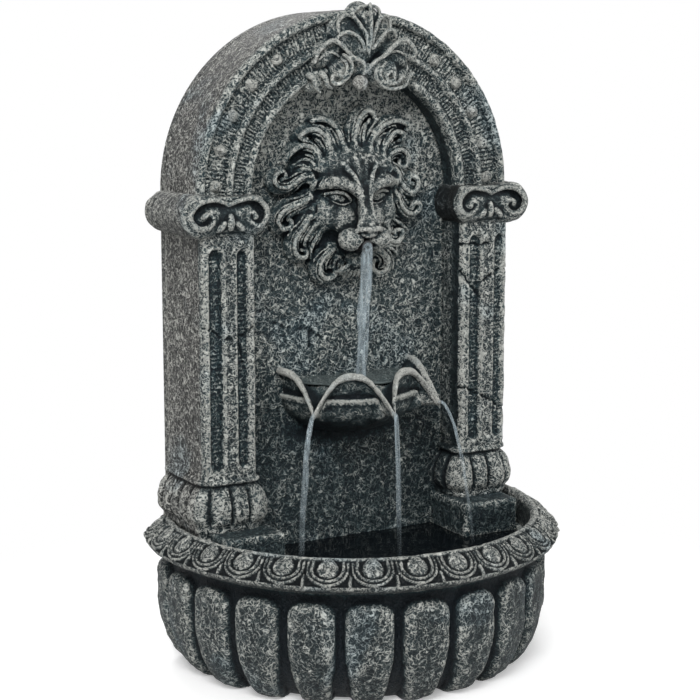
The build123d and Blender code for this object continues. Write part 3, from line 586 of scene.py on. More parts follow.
def water_material(name, colour, clear):
    """Dark still water, or falling water that clears as it spreads on the way down."""
    material, tree, shader, place = surface(name)
    pattern = speckle(place, 60.0, 2.0, distortion=0.4)
    fill(shader, {
        "Normal": bumps(pattern, 0.25, 0.002),
        "Roughness": 0.06,
        "IOR": 1.33,
        "Specular IOR Level": 0.5 if clear else 0.2,
    })
    if clear:
        pattern = speckle(stretched(place, (1.0, 1.0, 0.05)), 420.0, 2.0)
        spread = add(tree, "ShaderNodeSeparateXYZ", {0: place}, "Z").ranged(0.12, 0.235, 0.1, 1.0)
        fill(shader, {"Alpha": pattern.ranged(0.32, 0.68, 0.06, 0.42) * spread})
    fill(shader, {"Base Color": pattern.coloured([(0.3, shaded(colour, 0.6)), (0.75, colour)])})
    return material


STONE = stone_material("cast_stone")
CARVED = stone_material("carved_stone", carved=True)
PLAIN_STONE = stone_material("cast_stone_back", 0.9)
FITTINGS = {
    "cast_stone": PLAIN_STONE,
    "black_plastic": moulded_material("black_plastic", (0.032, 0.032, 0.034), 0.42, 900.0),
    "hatch_plastic": moulded_material("hatch_plastic", (0.13, 0.14, 0.14), 0.6, 700.0),
    "rubber": moulded_material("rubber", (0.036, 0.036, 0.036), 0.75, 500.0),
    "steel": moulded_material("steel", (0.60, 0.60, 0.58), 0.32, 500.0, (1.0, 1.0, 14.0), 1.0),
    "hose": moulded_material("hose", (0.50, 0.54, 0.52), 0.25, 260.0, (1.0, 1.0, 0.12)),
}


# Basin: pads round a dark bowl, with the flat back on the wall plane
PAD_PITCH = 2 * pi / 22
PAD_HALF = 21.5
PAD_BULGE = 9.0
PAD_LOW, PAD_HIGH = 8.0, 80.0
PAD_SQUARE = 2.8
# Inside of the bowl as radius and height, from its brim to the middle of its floor
BOWL_INSIDE = [
    (164, BOWL_TOP), (164, 90), (164, SHOULDER), (160, 42), (150, 26), (137, 15), (123, 12), (60, 12), (1, 12)
]


def turned(profile, columns):
    """Grid of a profile of radius and height about the basin's axis, cut off by the wall."""
    half_turn = pi / 2 + np.arcsin(AXIS_DEPTH / np.maximum(profile[:, 0], AXIS_DEPTH))
    angle = half_turn[:, None] * np.linspace(-1, 1, columns)[None, :]
    return profile[:, None, 0] + 0 * angle, angle, profile[:, None, 1] + 0 * angle


def placed(radius, angle, height):
    depth = np.maximum(AXIS_DEPTH + radius * np.cos(angle), 0.0)
    return np.stack([radius * np.sin(angle), depth, height], -1)


def pad_bulge(radius, angle, height):
    """Rounded tongue on each pitch: its rise, and how far a point is inside its edge."""
    turns = angle / PAD_PITCH + 0.5
    off = (turns - np.round(turns)) * PAD_PITCH * radius
    narrow = PAD_HALF * (0.62 + 0.38 * smooth_step(-6, 62, height))
    beyond = np.maximum(height - PAD_HIGH, 0) * 1.25 + np.maximum(PAD_LOW - height, 0) * 1.3
    q = (np.abs(off) ** PAD_SQUARE + beyond**PAD_SQUARE) ** (1 / PAD_SQUARE) / narrow
    dome = np.sqrt(np.clip(1 - np.clip(q, 0, 1) ** 4.5, 0, 1)) * (0.35 + 0.65 * smooth_step(-4, 14, height))
    return dome, q


def make_basin():
    bend = np.linspace(-pi / 2, 0, 34)
    belly_radius = FOOT_RADIUS + (BOWL_RADIUS - FOOT_RADIUS) * np.cos(bend)
    belly = np.stack([belly_radius, SHOULDER + SHOULDER * np.sin(bend)], -1)
    side = np.stack([np.full(24, BOWL_RADIUS), np.linspace(SHOULDER, BOWL_TOP, 25)[1:]], -1)
    bottom = np.stack([np.linspace(1.0, FOOT_RADIUS, 12)[:-1], np.zeros(11)], -1)
    profile = np.vstack([bottom, belly, side, BOWL_INSIDE])
    foot, brim = len(bottom), len(bottom) + len(belly) + len(side)
    on_face = np.zeros((len(profile), 1))
    on_face[foot:brim] = 1
    radius, angle, height = turned(profile, BASIN_COLUMNS)
    step = np.gradient(profile, axis=0)
    normal = np.stack([step[:, 1], -step[:, 0]], -1)
    normal /= np.linalg.norm(normal, axis=1)[:, None]
    dome, q = pad_bulge(radius, angle, height)
    between = 1.5 * (q > 1) * smooth_step(0, 12, height) * smooth_step(BOWL_TOP, BOWL_TOP - 9, height)
    rise = on_face * (PAD_BULGE * dome - between)
    rise[foot] *= 0.1
    points = placed(radius, angle, height)
    rough = hammered(points * np.array([1.0, 1.0, 0.6]), 1.35, seed=11)
    rough = rough * on_face * (0.25 + 0.75 * (dome > 0.25))
    rough[foot] = 0
    rise = rise + rough
    points = placed(radius + normal[:, :1] * rise, angle, np.maximum(height + normal[:, 1:] * rise, 0.0))
    # Painted shade on the pads: some all over, more on the right side, away from the key lamp, and more near
    # the floor. The channels between the pads get painted shade too.
    painted_pad_shade = 0.3 + 0.4 * smooth_step(0.0, 0.8, np.sin(angle)) + 0.2 * smooth_step(60, 10, height)
    painted_shade = on_face * np.maximum(1.2 * smooth_step(0.86, 1.05, q), painted_pad_shade)
    warm = on_face * (0.1 + 0.3 * dome)
    piece("basin_bowl", points, grid_faces(*radius.shape), STONE, ["basin"], 2.2, painted_shade, warm)
    make_basin_back(points[foot:brim, -1])


def make_basin_back(ends):
    """Slab that shuts the basin behind, out to the bowl's own ends."""
    rows = np.linspace(0.0, BOWL_TOP - 0.5, 40)
    half = np.interp(rows, ends[:, 2], np.abs(ends[:, 0])) - 0.3
    loop = np.array([[-1, 0.4], [1, 0.4], [1, 10], [-1, 10]], float)
    slab = np.stack(np.broadcast_arrays(half[:, None] * loop[:, 0], loop[:, 1], rows[:, None]), -1)
    grid_piece("basin_back", slab, "columns", PLAIN_STONE, (), 8.0)


# Rim: egg and dart on its slope, laid out on a ring of the given radius
EGG_RING = 184.0
EGG_PITCH = radians(12.0) * EGG_RING


def rim_pattern(run, down):
    """Height of the egg-and-dart over the slope, from the crest down, and the depth of its grooves."""
    u = (run / EGG_PITCH - np.round(run / EGG_PITCH)) * EGG_PITCH
    reach = np.hypot(u, np.maximum(down - 11.0, 0) * 1.12)
    egg = np.hypot(u / 9.6, (down - 11.5) / 10.2)
    rise = 3.6 * np.sqrt(np.clip(1 - egg**2, 0, 1))
    frames = 2.6 * hump(reach, 13.4, 1.5) + 2.0 * hump(reach, 17.3, 1.3)
    rise = np.maximum(rise, smooth_step(2.0, 6.0, down) * frames)
    dart = hump(EGG_PITCH / 2 - np.abs(u), 0.0, 1.3) * smooth_step(15, 19, down) * smooth_step(30, 27, down)
    rise = np.maximum(rise, 2.2 * dart) + 1.4 * hump(down, 1.0, 2.2)
    band = smooth_step(27.5, 29.5, down)
    groove = (1 - smooth_step(0.2, 1.3, rise)) * smooth_step(1.5, 5, down) * (1 - band)
    return rise * (1 - band), groove


def make_rim():
    crest, foot = (RIM_INNER + 5.0, RIM_TOP + 0.2), (RIM_RADIUS - 3.5, 119.5)
    corners = [
        (RIM_INNER, 108.0), (RIM_INNER, RIM_TOP - 2.5), (RIM_INNER + 2.0, RIM_TOP), crest, foot,
        (RIM_RADIUS - 2.0, 116.5), (RIM_RADIUS - 4.0, 113.0), (182.0, 108.0), (176.0, 105.5),
    ]
    profile = softened(resample(corners, 0.95, closed=True), 5)
    radius, angle, height = turned(profile, RIM_COLUMNS)
    step = np.roll(profile, -1, 0) - np.roll(profile, 1, 0)
    normal = np.stack([step[:, 1], -step[:, 0]], -1)
    normal /= np.linalg.norm(normal, axis=1)[:, None]
    normal *= np.sign(np.sum((profile - profile.mean(0)) * normal, 1).mean())
    slope = np.subtract(foot, crest) / np.linalg.norm(np.subtract(foot, crest))
    down = ((profile - crest) @ slope)[:, None]
    upper = ((normal @ np.array([-slope[1], slope[0]])) * np.sign(normal[:, 1])) > 0.35
    upper = (upper & (normal[:, 1] > 0.2))[:, None]
    rise, groove = rim_pattern(angle * EGG_RING, down + 0 * angle)
    rough = hammered(placed(radius, angle, height), 0.45, seed=23)
    rise = np.where(upper, rise - 1.6 * groove, 0) + rough
    points = placed(radius + normal[:, :1] * rise, angle, height + normal[:, 1:] * rise)
    # Painted shade: some on the upper slope, more in its grooves, and more on the rim's other faces
    painted_shade = np.where(upper, 0.15 + groove * 0.75, 0.3)
    grid_piece("rim_egg_and_dart", points, "rows", CARVED, ["basin_rim"], 1.3, painted_shade, 0.55)


# Cracks, each a line of x and height on an upright face
PANEL_CRACKS = [[(-73, 315), (-57, 309), (-42, 308), (-24, 297)], [(-42, 308), (-36, 300), (-37, 291)]]
LEFT_CRACKS = [
    [(-164, 322), (-154, 320), (-142, 312), (-134, 309), (-126, 310), (-118, 312), (-111, 319)],
    [(-126, 310), (-121, 298), (-119, 288)],
]
RIGHT_CRACKS = [
    [(103, 378), (117, 381), (128, 378), (139, 380)],
    [(108, 354), (114, 346), (123, 339), (134, 345), (147, 352), (159, 354)],
    [(123, 339), (127, 333), (131, 330)],
    [(105, 244), (117, 241), (129, 234), (143, 228), (157, 217)],
]
CRACK_WIDTH = 1.5


def crack_depth(x, z, cracks):
    """From 0 to 1 across each crack line."""
    jag = 1.4 * noise(np.stack([x, 0 * x, z], -1), 5.0, 71)
    depth = np.zeros(x.shape)
    for line in cracks:
        p = np.asarray(line, float)
        for a, b in zip(p[:-1], p[1:]):
            ab = b - a
            t = np.clip(((x - a[0]) * ab[0] + (z - a[1]) * ab[1]) / (ab @ ab), 0, 1)
            gap = np.hypot(x - a[0] - t * ab[0] + jag, z - a[1] - t * ab[1] + jag)
            depth = np.maximum(depth, 1 - smooth_step(0.2 * CRACK_WIDTH, CRACK_WIDTH, gap))
    return depth


# Niche wall
PANEL_HALF = 107.5
PANEL_LOW, PANEL_HIGH = 62, 540.5
PANEL_BACK = 46.5


def make_panel():
    rows = np.linspace(PANEL_LOW, PANEL_HIGH, PANEL_ROWS)
    round_top = np.sqrt(np.maximum(PANEL_HALF**2 - (rows - SPRING) ** 2, 9))
    half = np.where(rows > SPRING, round_top, PANEL_HALF)[:, None]
    across = np.linspace(-1, 1, PANEL_COLUMNS)
    x = half * np.concatenate([across, across[::-1][::15]])
    z = rows[:, None] + 0 * x
    front = np.arange(x.shape[1]) < len(across)
    points = np.stack([x, np.where(front, PANEL_DEPTH, PANEL_BACK) + 0 * x, z], -1)
    crack = crack_depth(x, z, PANEL_CRACKS)
    rough = hammered(points, 0.95, seed=31) + 0.6 * noise(points, 45.0, 35)
    points[..., 1] += np.where(front, rough - 2.4 * crack, 0)
    # Darker towards the bottom of the wall
    darker_below = 0.4 * smooth_step(300, 190, z)
    # Painted shade along the sides of the niche, more on the right side
    shade = smooth_step(14, 0, np.minimum(half - np.abs(x), 30)) * np.where(x > 0, 0.6, 0.35)
    # Painted shadow on the wall under the shell bowl
    painted_shadow_under_bowl = smooth_step(1.3, 0.6, np.hypot(x / 62, (z - 212) / 14))
    # The cracks get painted shade, and the top of the niche gets painted highlight
    painted_shade = np.clip(np.maximum(shade, darker_below) + crack, 0, 1) + 0.9 * painted_shadow_under_bowl - 0.8 * smooth_step(400, 520, z)
    grid_piece("niche_wall", points, "columns", STONE, ["back_panel"], 2.4, painted_shade, 0.12)


# Arch, as a profile of radius and depth, from the roof's back round its front mouldings
ARCH_PROFILE = [
    (152, PLATE_FACE), (160, PLATE_FACE), (160.2, 30), (160.4, 60), (160.3, 79.5), (158.5, 82.3),
    (154.5, 82.6), (152.6, 80.5), (152.0, 76.4), (134.6, 76.0), (133.6, 78.5), (132.2, 83.0), (129.5, 84.6),
    (127.2, 83.0), (126.0, 79.2), (124.6, 77.8), (115.6, 77.8), (114.4, 80.2), (112.6, 82.2), (109.2, 82.0),
    (107.4, 79.5), (106.6, 75.0), (106.6, PANEL_DEPTH), (130, PANEL_DEPTH), (152, PANEL_DEPTH),
]
ARCH_RIBS = 240


def make_arch():
    profile = softened(resample(ARCH_PROFILE, 1.7, closed=True), 1)
    r, d = profile[:, :1], profile[:, 1:]
    angle = np.linspace(0, pi, ARCH_COLUMNS)
    points = np.stack([-r * np.cos(angle), d + 0 * angle, SPRING + r * np.sin(angle)], -1)
    rough = hammered(points, 0.5, seed=41) * ((r > 153.5) | (d > 56))
    chips = 1.2 * np.clip(noise(points, 17.0, 44) - 0.35, 0, 1) * (d > 72)
    flat = (r > 115.5) & (r < 151.5) & (d > 70) & (d < 78.6)
    ribs = 0.9 * np.sin(angle * ARCH_RIBS + 2.5 * noise(points, 12.0, 46)) * flat
    points = grown(points, grid_quads(points, "rows")[0], rough - chips + ribs)
    points[..., 2] = np.maximum(points[..., 2], SPRING - 0.3)
    bead_band = (r > 134.5) & (r < 152.4) & (d > 70)
    rib_band = (r > 115) & (r < 126) & (d > 70)
    # Painted highlight on the bead band and the rib band, and painted shade on the inner face of the arch by
    # the niche wall
    painted_shade = -0.2 * bead_band - 0.1 * rib_band + 0.85 * ((r < 107.5) & (d < 70))
    warm = 0.15 + 0.85 * (smooth_step(82, 74, d) * (r > 153))
    grid_piece("arch_moulding", points, "rows", STONE, ["arch_roof", "archivolt"], 2.0, painted_shade, warm)


# Beads on the arch
BEAD_RING = 142.0
BEAD_SIZE = np.array([5.4, 6.4, 5.4])
BEADS_EACH_SIDE = 5


def half_ball(rows, columns):
    """Half ball that looks out from the wall, as rows from its rim to its crown."""
    up = np.linspace(0, pi / 2 - 0.02, rows)[:, None]
    turn = np.linspace(0, 2 * pi, columns, endpoint=False)[None, :]
    return np.stack([np.cos(up) * np.cos(turn), 0.85 * np.sin(up) + 0 * turn, np.cos(up) * np.sin(turn)], -1)


def make_beads():
    points, faces, caps = [], [], []
    for side in (-1, 1):
        for number in range(BEADS_EACH_SIDE):
            a = radians(3 + 13 * number)
            height = max(SPRING + BEAD_RING * sin(a), SPRING + 6.0)
            dome = half_ball(9, 22) * BEAD_SIZE
            dome = np.concatenate([dome[:1] * np.array([1, 0, 1]) - np.array([0, 2.0, 0]), dome])
            dome = dome * (1 + 0.22 * noise(dome + 40 * number + 300 * side, 3.2, 47))[..., None]
            start = sum(len(p) for p in points)
            quads, ends = grid_quads(dome, "columns")
            faces.append(quads + start)
            caps += [[start + k for k in end] for end in ends]
            points.append((dome + np.array([side * BEAD_RING * cos(a), 75.6, height])).reshape(-1, 3))
    piece("beads", np.vstack(points), np.vstack(faces), STONE, ["arch_beads"], 1.2, -1.6, 0.6, caps)


# Pilasters. Flutes are given by the middle and half of their width
FLUTES = {"left": ((121.3, 5.4), (147.0, 6.8)), "right": ((123.6, 6.6), (150.6, 5.8))}
FLUTE_MIDDLE, FLUTE_REACH = 289.5, 92.5
# How far the base swells at each height
BULB = [
    (116, 3.0), (134, 5.0), (138, 6.5), (141, 6.5), (144, 8.0), (150, 10.4), (158, 10.6), (167, 7.8),
    (174, 3.6), (177.2, 0.6), (178.4, 3.0), (179.8, 5.0), (181.6, 5.0), (183.2, 3.2), (184.6, 0.4),
]
BULB_RINGS = ((116, 134, 7), (PLINTH_TOP - 0.5, 177.5, 36), (178.1, BASE_TOP + 0.5, 12))
COLLAR_LOW = 177.8
LOBE_PITCH = 17.2


def flank(sign, corner_out, corner_in, front, step):
    """Plan of a pilaster as x and depth, from its outer back corner round to its inner one."""
    a = np.linspace(0, pi / 2, 10)
    outer_x = BODY_HALF - corner_out + corner_out * np.cos(a)
    inner_x = NICHE_HALF + corner_in - corner_in * np.sin(a)
    outer = np.stack([outer_x, front - corner_out + corner_out * np.sin(a)], -1)
    inner = np.stack([inner_x, front - corner_in + corner_in * np.cos(a)], -1)
    line = np.vstack([[(BODY_HALF, PLATE_FACE)], outer, inner, [(NICHE_HALF, 42.0)]])
    return resample(line, step) * np.array([sign, 1.0])


def pilaster_grid(sign, plan, rows):
    """Points round a plan and its hidden back at each height, and which columns are on the plan."""
    back = resample([plan[-1], (sign * NICHE_HALF, PLATE_FACE), plan[0]], 12.0)[1:-1]
    loop = np.vstack([plan, back])
    points = np.stack(np.broadcast_arrays(loop[:, 0], loop[:, 1], rows[:, None]), -1)
    return points, np.arange(len(loop)) < len(plan)


def make_shaft(side, sign, cracks):
    rows = np.linspace(BASE_TOP - 1, SHAFT_TOP + 1, SHAFT_ROWS)
    points, shown = pilaster_grid(sign, flank(sign, 6.5, 6.0, SHAFT_DEPTH, 1.35), rows)
    x, d, z = np.moveaxis(points, -1, 0)
    out = np.abs(x)
    front = d > SHAFT_DEPTH - 3.5
    flute = np.zeros(x.shape)
    border = np.zeros(x.shape)
    for middle, half in FLUTES[side]:
        q = np.hypot(out - middle, np.maximum(np.abs(z - FLUTE_MIDDLE) - FLUTE_REACH, 0)) / half
        flute = np.maximum(flute, smooth_step(1.06, 0.72, q))
        border = np.maximum(border, hump(q, 1.15, 0.13))
    for edge in (157.0, 111.0):
        border = np.maximum(border, 0.8 * hump(out, edge, 1.6))
    border = border * front
    flute = flute * front
    ribs = 0.8 * np.sin(z * 2 * pi / 3.7 + 2.0 * noise(points, 9.0, 53)) * flute
    near_front = smooth_step(SHAFT_DEPTH - 14, SHAFT_DEPTH - 6, d) * ((d > SHAFT_DEPTH - 6) | (out > 130))
    crack = crack_depth(x, z, cracks) * near_front
    rough = hammered(points, 0.8, seed=51) * (1 - 0.8 * flute) * shown
    # Painted shade on the side that faces into the niche, darkest near the front
    shaded_niche_side = ((out < 109.5) & (d < SHAFT_DEPTH - 5)) * (0.3 + 0.7 * smooth_step(66, 78, d))
    # Painted shade in the flutes and cracks, painted highlight on the front faces, and paler along the flute
    # and corner edges
    painted_shade = np.clip(0.1 * flute + crack + shaded_niche_side, 0, 1)
    painted_shade = painted_shade - 0.1 * front * (1 - flute) * (1 - crack) - 1.3 * border
    warm = np.where((out > 155) & (d < SHAFT_DEPTH - 8), 1.0, 0.3 - 0.3 * flute)
    rise = rough - 4.4 * flute + ribs + border - 3.4 * crack
    points = grown(points, grid_quads(points, "columns")[0], rise)
    grid_piece(f"{side}_pilaster", points, "columns", STONE, [f"{side}_shaft"], 1.7, painted_shade, warm)


def make_base(side, sign):
    plan = flank(sign, 13.0, 9.0, SHAFT_DEPTH - 2.0, 1.3)
    rows = np.concatenate([np.linspace(*ring) for ring in BULB_RINGS])
    points, shown = pilaster_grid(sign, plan, rows)
    x, d, z = np.moveaxis(points, -1, 0)
    swell = np.interp(z, *zip(*BULB))
    run = np.zeros(len(shown))
    run[shown] = run_of(plan)
    u = np.abs((run / LOBE_PITCH - np.round(run / LOBE_PITCH)) * 2)
    lobe_zone = smooth_step(141, 147, z) * smooth_step(177.5, 171, z)
    groove = smooth_step(0.66, 1.0, u) * lobe_zone
    crown = (1 - u**2) * lobe_zone * 2.0
    rise = (swell + crown - 3.6 * groove + hammered(points, 1.1, seed=61)) * shown
    # Painted shade under the collar, on the side that faces into the niche and in the grooves between the
    # lobes
    shade_under_collar = smooth_step(1.5, 0, np.abs(z - COLLAR_LOW))
    shaded_niche_side = (np.abs(x) < 109) & (d < SHAFT_DEPTH - 6)
    painted_shade = np.clip(0.5 * groove * shown + 0.5 * shade_under_collar * shown + 0.8 * shaded_niche_side, 0, 1)
    warm = np.where((np.abs(x) > 155) & (d < 78), 0.9, 0.3)
    points = grown(points, grid_quads(points, "columns")[0], rise, level=True)
    points[..., 1] = np.maximum(points[..., 1], PLATE_FACE)
    grid_piece(f"{side}_bulb", points, "columns", STONE, [f"{side}_base"], 1.4, painted_shade, warm)


def make_plinth(side, sign):
    top = PLINTH_TOP + 0.2
    clay = Clay((92, 50, 100), (160, 121, 140), 1.6)
    clay.block((95.8, 46, 103.5), (155.3, 117, top), 2.5)
    points, faces = clay.mesh()
    points = grown(points, faces, hammered(points, 0.6, seed=67))
    points[:, 2] = np.minimum(points[:, 2], top)
    points[:, 0] *= sign
    piece(f"{side}_plinth_block", points, faces, STONE, [f"{side}_plinth"], clay.step, 0.6, 0.1)


# Capitals: a roll at each end, carved spirals on the front and a bud between them
SCROLL_HEIGHT = 417.5
SCROLL_BACK, SCROLL_FRONT = 8.4, 94.0
ABACUS_TOP = 433.8
SCROLL_GROOVES = [
    ([(141, 95, 425), (153, 95.5, 428), (163, 95.5, 425.5), (170, 95.5, 417.5)], [2.4, 4.6, 6.0, 5.4]),
    ([(170, 95.5, 418), (166, 95.5, 411), (159, 95.5, 411.5), (155, 96, 415)], [5.0, 4.4, 3.2, 2.4]),
    ([(135, 95.5, 423), (126, 95.5, 427), (114, 95.5, 428), (106, 95.5, 421)], [2.2, 4.2, 5.0, 4.6]),
    ([(106, 95.5, 421), (105.5, 95.5, 415), (110, 96, 411), (116, 96, 413)], [4.2, 3.6, 3.0, 2.4]),
]
SCROLL_RIDGES = [
    ([(138, 93.5, 428), (152, 94.5, 432), (166, 94.5, 429), (174, 94.5, 419), (168, 94.5, 408.5),
      (157, 94.5, 408.5), (152, 94.5, 415), (157, 95, 420), (161, 95, 418)],
     [1.6, 2.2, 2.4, 2.8, 2.8, 2.6, 2.2, 2.0, 2.6]),
    ([(137, 93.5, 427), (126, 94.5, 431), (113, 94.5, 432), (102, 94, 425), (101, 94, 415),
      (108, 94.5, 408), (117, 94.5, 412), (119, 94.5, 418), (114, 95, 420), (112, 95, 416)],
     [1.6, 2.2, 2.2, 2.4, 2.4, 2.4, 2.2, 2.0, 1.8, 2.4]),
]


def make_capital(side, sign):
    clay = Clay((88, 4, 394), (190, 104, 442), 1.25)
    clay.rod(113.0, SCROLL_HEIGHT, 15.5, 40.0, SCROLL_FRONT, 4.0, 4.0)
    clay.rod(163.5, SCROLL_HEIGHT, 16.5, SCROLL_BACK, SCROLL_FRONT, 4.0, 4.0)
    clay.block((104, 40, 404), (170, 92.5, ABACUS_TOP), 3.0, 5.0)
    clay.block((150, SCROLL_BACK, 401), (168, 92, ABACUS_TOP), 3.0, 5.0)
    clay.block((108, SCROLL_BACK, SHAFT_TOP), (164, 88, 410), 3.0, 5.0)
    for line, radii in SCROLL_GROOVES:
        clay.tube(line, radii, 1.2, cut=True)
    for line, radii in SCROLL_RIDGES:
        clay.tube(line, radii, 1.2, 60)
    clay.egg((135, 93, 412), (3.4, 4.5, 8.0), 1.0)
    clay.egg((144, 93, 408.5), (3.0, 4.0, 6.5), 1.0, 42)
    clay.egg((126.5, 93, 408.5), (3.0, 4.0, 6.0), 1.0, -42)
    points, faces = clay.mesh()
    calm_front = 0.35 + 0.65 * smooth_step(90, 84, points[:, 1])
    points = grown(points, faces, hammered(points, 0.85, seed=81) * calm_front)
    points[:, 1] = np.maximum(points[:, 1], PLATE_FACE)
    warm = np.where(points[:, 1] < 86, 0.85, 0.3)
    # Painted shade on the inner half of the inner roll, behind its front
    painted_shade = 0.95 * ((points[:, 0] < 113) & (points[:, 1] < 88))
    points[:, 0] *= sign
    piece(f"{side}_scrolls", points, faces, CARVED, [f"{side}_capital"], clay.step, painted_shade, warm)


# Keystone: eggs by centre, radii and turn; leaf and scroll ridges as lines of x, depth and height with radii
KEY_MASSES = [
    ((0, 78, 573), (19, 12, 29), 0), ((2, 84, 588), (15, 7, 10.5), 0),
    ((-16, 77, 572), (13, 11, 20), 28), ((17, 77, 572), (13, 11, 20), -28),
    ((-32, 76, 556), (19, 10.5, 12), 28), ((34, 76, 556), (20, 10.5, 12), -22),
    ((-22, 78, 542), (12, 11.5, 14), 0), ((24, 78, 540), (16, 11.5, 15), 0),
    ((-43, 76, 531), (13, 9.0, 9), 25), ((43, 76, 534), (12, 9.0, 9), -25),
    ((-2, 78, 543), (9, 11, 14), 0), ((-1, 83, 534), (3.5, 8, 7), 0),
]
KEY_HOLLOWS = [
    ((-3, 96, 585), (5.5, 6, 10), 15), ((10, 95, 585), (4.0, 6, 10), -12),
    ((-17, 93, 580), (5.5, 6, 7), 25), ((-14, 96, 566), (7.5, 6, 6), 15),
    ((21, 94, 580), (5.0, 6, 6), -25), ((24, 95, 568), (7.0, 6, 4.5), -35),
    ((-31, 92, 560), (10, 6.0, 3.0), 15), ((40, 92, 560), (11, 6.0, 3.4), -10),
    ((-27, 93, 545), (4.5, 6.0, 6.0), 0), ((33, 94, 546), (9, 6.0, 4.5), -15),
    ((-8, 96, 541), (4.0, 6.0, 6.5), 0), ((6, 95, 536), (3.5, 7.0, 8.0), 30),
]
KEY_RIDGES = [
    ([(4, 93, 599), (4, 95, 583), (4, 95, 568), (2, 94, 556)], [1.6, 1.6, 1.5, 1.2]),
    ([(4, 91, 597), (-3, 91, 597), (-9, 91, 594), (-12, 91, 590), (-5, 92, 581), (1, 93, 572), (1, 93, 560)],
     [1.5, 1.6, 1.6, 1.5, 1.4, 1.3, 1.2]),
    ([(4, 90, 597), (11, 90, 597), (16, 89, 592), (14, 90, 582), (9, 92, 572), (6, 93, 560)],
     [1.5, 1.6, 1.6, 1.4, 1.3, 1.2]),
    ([(-24, 87, 574), (-25, 87, 583), (-19, 88, 589), (-12, 89, 588), (-6, 90, 581), (-2, 91, 575),
      (2, 92, 568)], [1.4, 1.6, 1.8, 1.6, 1.5, 1.4, 1.2]),
    ([(-28, 89, 568), (-23, 90, 573), (-15, 91, 574), (-7, 92, 570), (-3, 93, 564), (-2, 93, 558)],
     [1.4, 1.8, 1.8, 1.6, 1.5, 1.3]),
    ([(-48, 86, 548), (-45, 87, 557), (-38, 88, 564), (-31, 89, 567), (-23, 90, 563), (-17, 91, 557),
      (-12, 92, 551)], [1.6, 2.0, 2.2, 2.2, 2.1, 2.0, 1.8]),
    ([(-44, 85, 550), (-37, 86, 556), (-31, 87, 557), (-25, 89, 553)], [1.0, 1.2, 1.2, 1.0]),
    ([(-15, 93, 553), (-9, 94, 551), (-3, 94, 547), (-1, 93, 541)], [1.6, 1.8, 1.6, 1.2]),
    ([(-22, 91, 555), (-15, 92, 549), (-15, 92, 540), (-22, 92, 532), (-29, 91, 529), (-33, 90, 532),
      (-32, 90, 537)], [1.5, 1.9, 2.0, 1.9, 1.8, 1.7, 1.5]),
    ([(-24, 91, 551), (-20, 92, 548), (-19, 92, 541), (-23, 92, 536), (-28, 91, 537)],
     [1.2, 1.4, 1.4, 1.4, 1.6]),
    ([(-54, 86, 537), (-50, 87, 534), (-48, 87, 527), (-43, 86, 522)], [3.0, 2.6, 2.0, 1.4]),
    ([(-42, 88, 538), (-39, 89, 534), (-37, 89, 528), (-32, 88, 526)], [2.8, 2.4, 2.0, 1.4]),
    ([(-2, 93, 538), (4, 93, 544), (10, 93, 549), (18, 92, 553), (26, 91, 558)], [1.4, 1.6, 1.7, 1.7, 1.6]),
    ([(8, 92, 560), (16, 91, 569), (24, 90, 576), (31, 89, 576), (34, 88, 571)], [1.3, 1.5, 1.7, 1.7, 1.4]),
    ([(11, 91, 577), (15, 90, 585), (21, 89, 589), (27, 88, 586), (28, 88, 579)], [1.3, 1.5, 1.7, 1.6, 1.4]),
    ([(18, 92, 553), (26, 91, 559), (34, 90, 565), (43, 89, 568), (51, 88, 563), (55, 87, 556),
      (52, 86, 552)], [1.7, 2.0, 2.2, 2.2, 2.1, 2.0, 1.6]),
    ([(22, 90, 554), (34, 88, 558), (45, 86, 555)], [1.0, 1.2, 1.0]),
    ([(15, 91, 548), (11, 91, 538), (15, 91, 530), (24, 91, 525), (35, 90, 525), (45, 88, 528), (49, 87, 535),
      (53, 86, 538)], [1.6, 1.9, 1.9, 1.8, 1.7, 1.6, 1.6, 2.2]),
    ([(21, 92, 548), (15, 92, 540), (18, 92, 532), (26, 92, 529), (35, 91, 531), (40, 89, 536)],
     [1.4, 1.6, 1.6, 1.6, 1.5, 2.0]),
    ([(31, 91, 539), (26, 92, 540), (22, 92, 536), (24, 92, 532), (30, 92, 533), (30, 92, 537)],
     [1.4, 1.5, 1.5, 1.5, 1.5, 1.6]),
]
KEY_BALL = np.array([-5, 91, 530])
KEY_BALL_RADIUS = 7.2


def make_keystone():
    clay = Clay((-64, 70, 514), (64, 102, 606), 0.95)
    for centre, radii, turn in KEY_MASSES:
        clay.egg(centre, radii, 3.0, turn)
    for centre, radii, turn in KEY_HOLLOWS:
        clay.egg(centre, radii, 2.0, turn, cut=True)
    for line, radii in KEY_RIDGES:
        clay.tube(line, radii, 1.4, 26)
    clay.egg(KEY_BALL, [KEY_BALL_RADIUS] * 3, 0.8)
    clay.keep_in_front(72.5)
    points, faces = clay.mesh()
    points = grown(points, faces, hammered(points, 0.4, seed=87))
    warm = 0.25 + 0.75 * smooth_step(8.5, 7.0, np.linalg.norm(points - KEY_BALL, axis=1))
    piece("leaf_keystone", points, faces, CARVED, ["keystone"], clay.step, warm=warm)


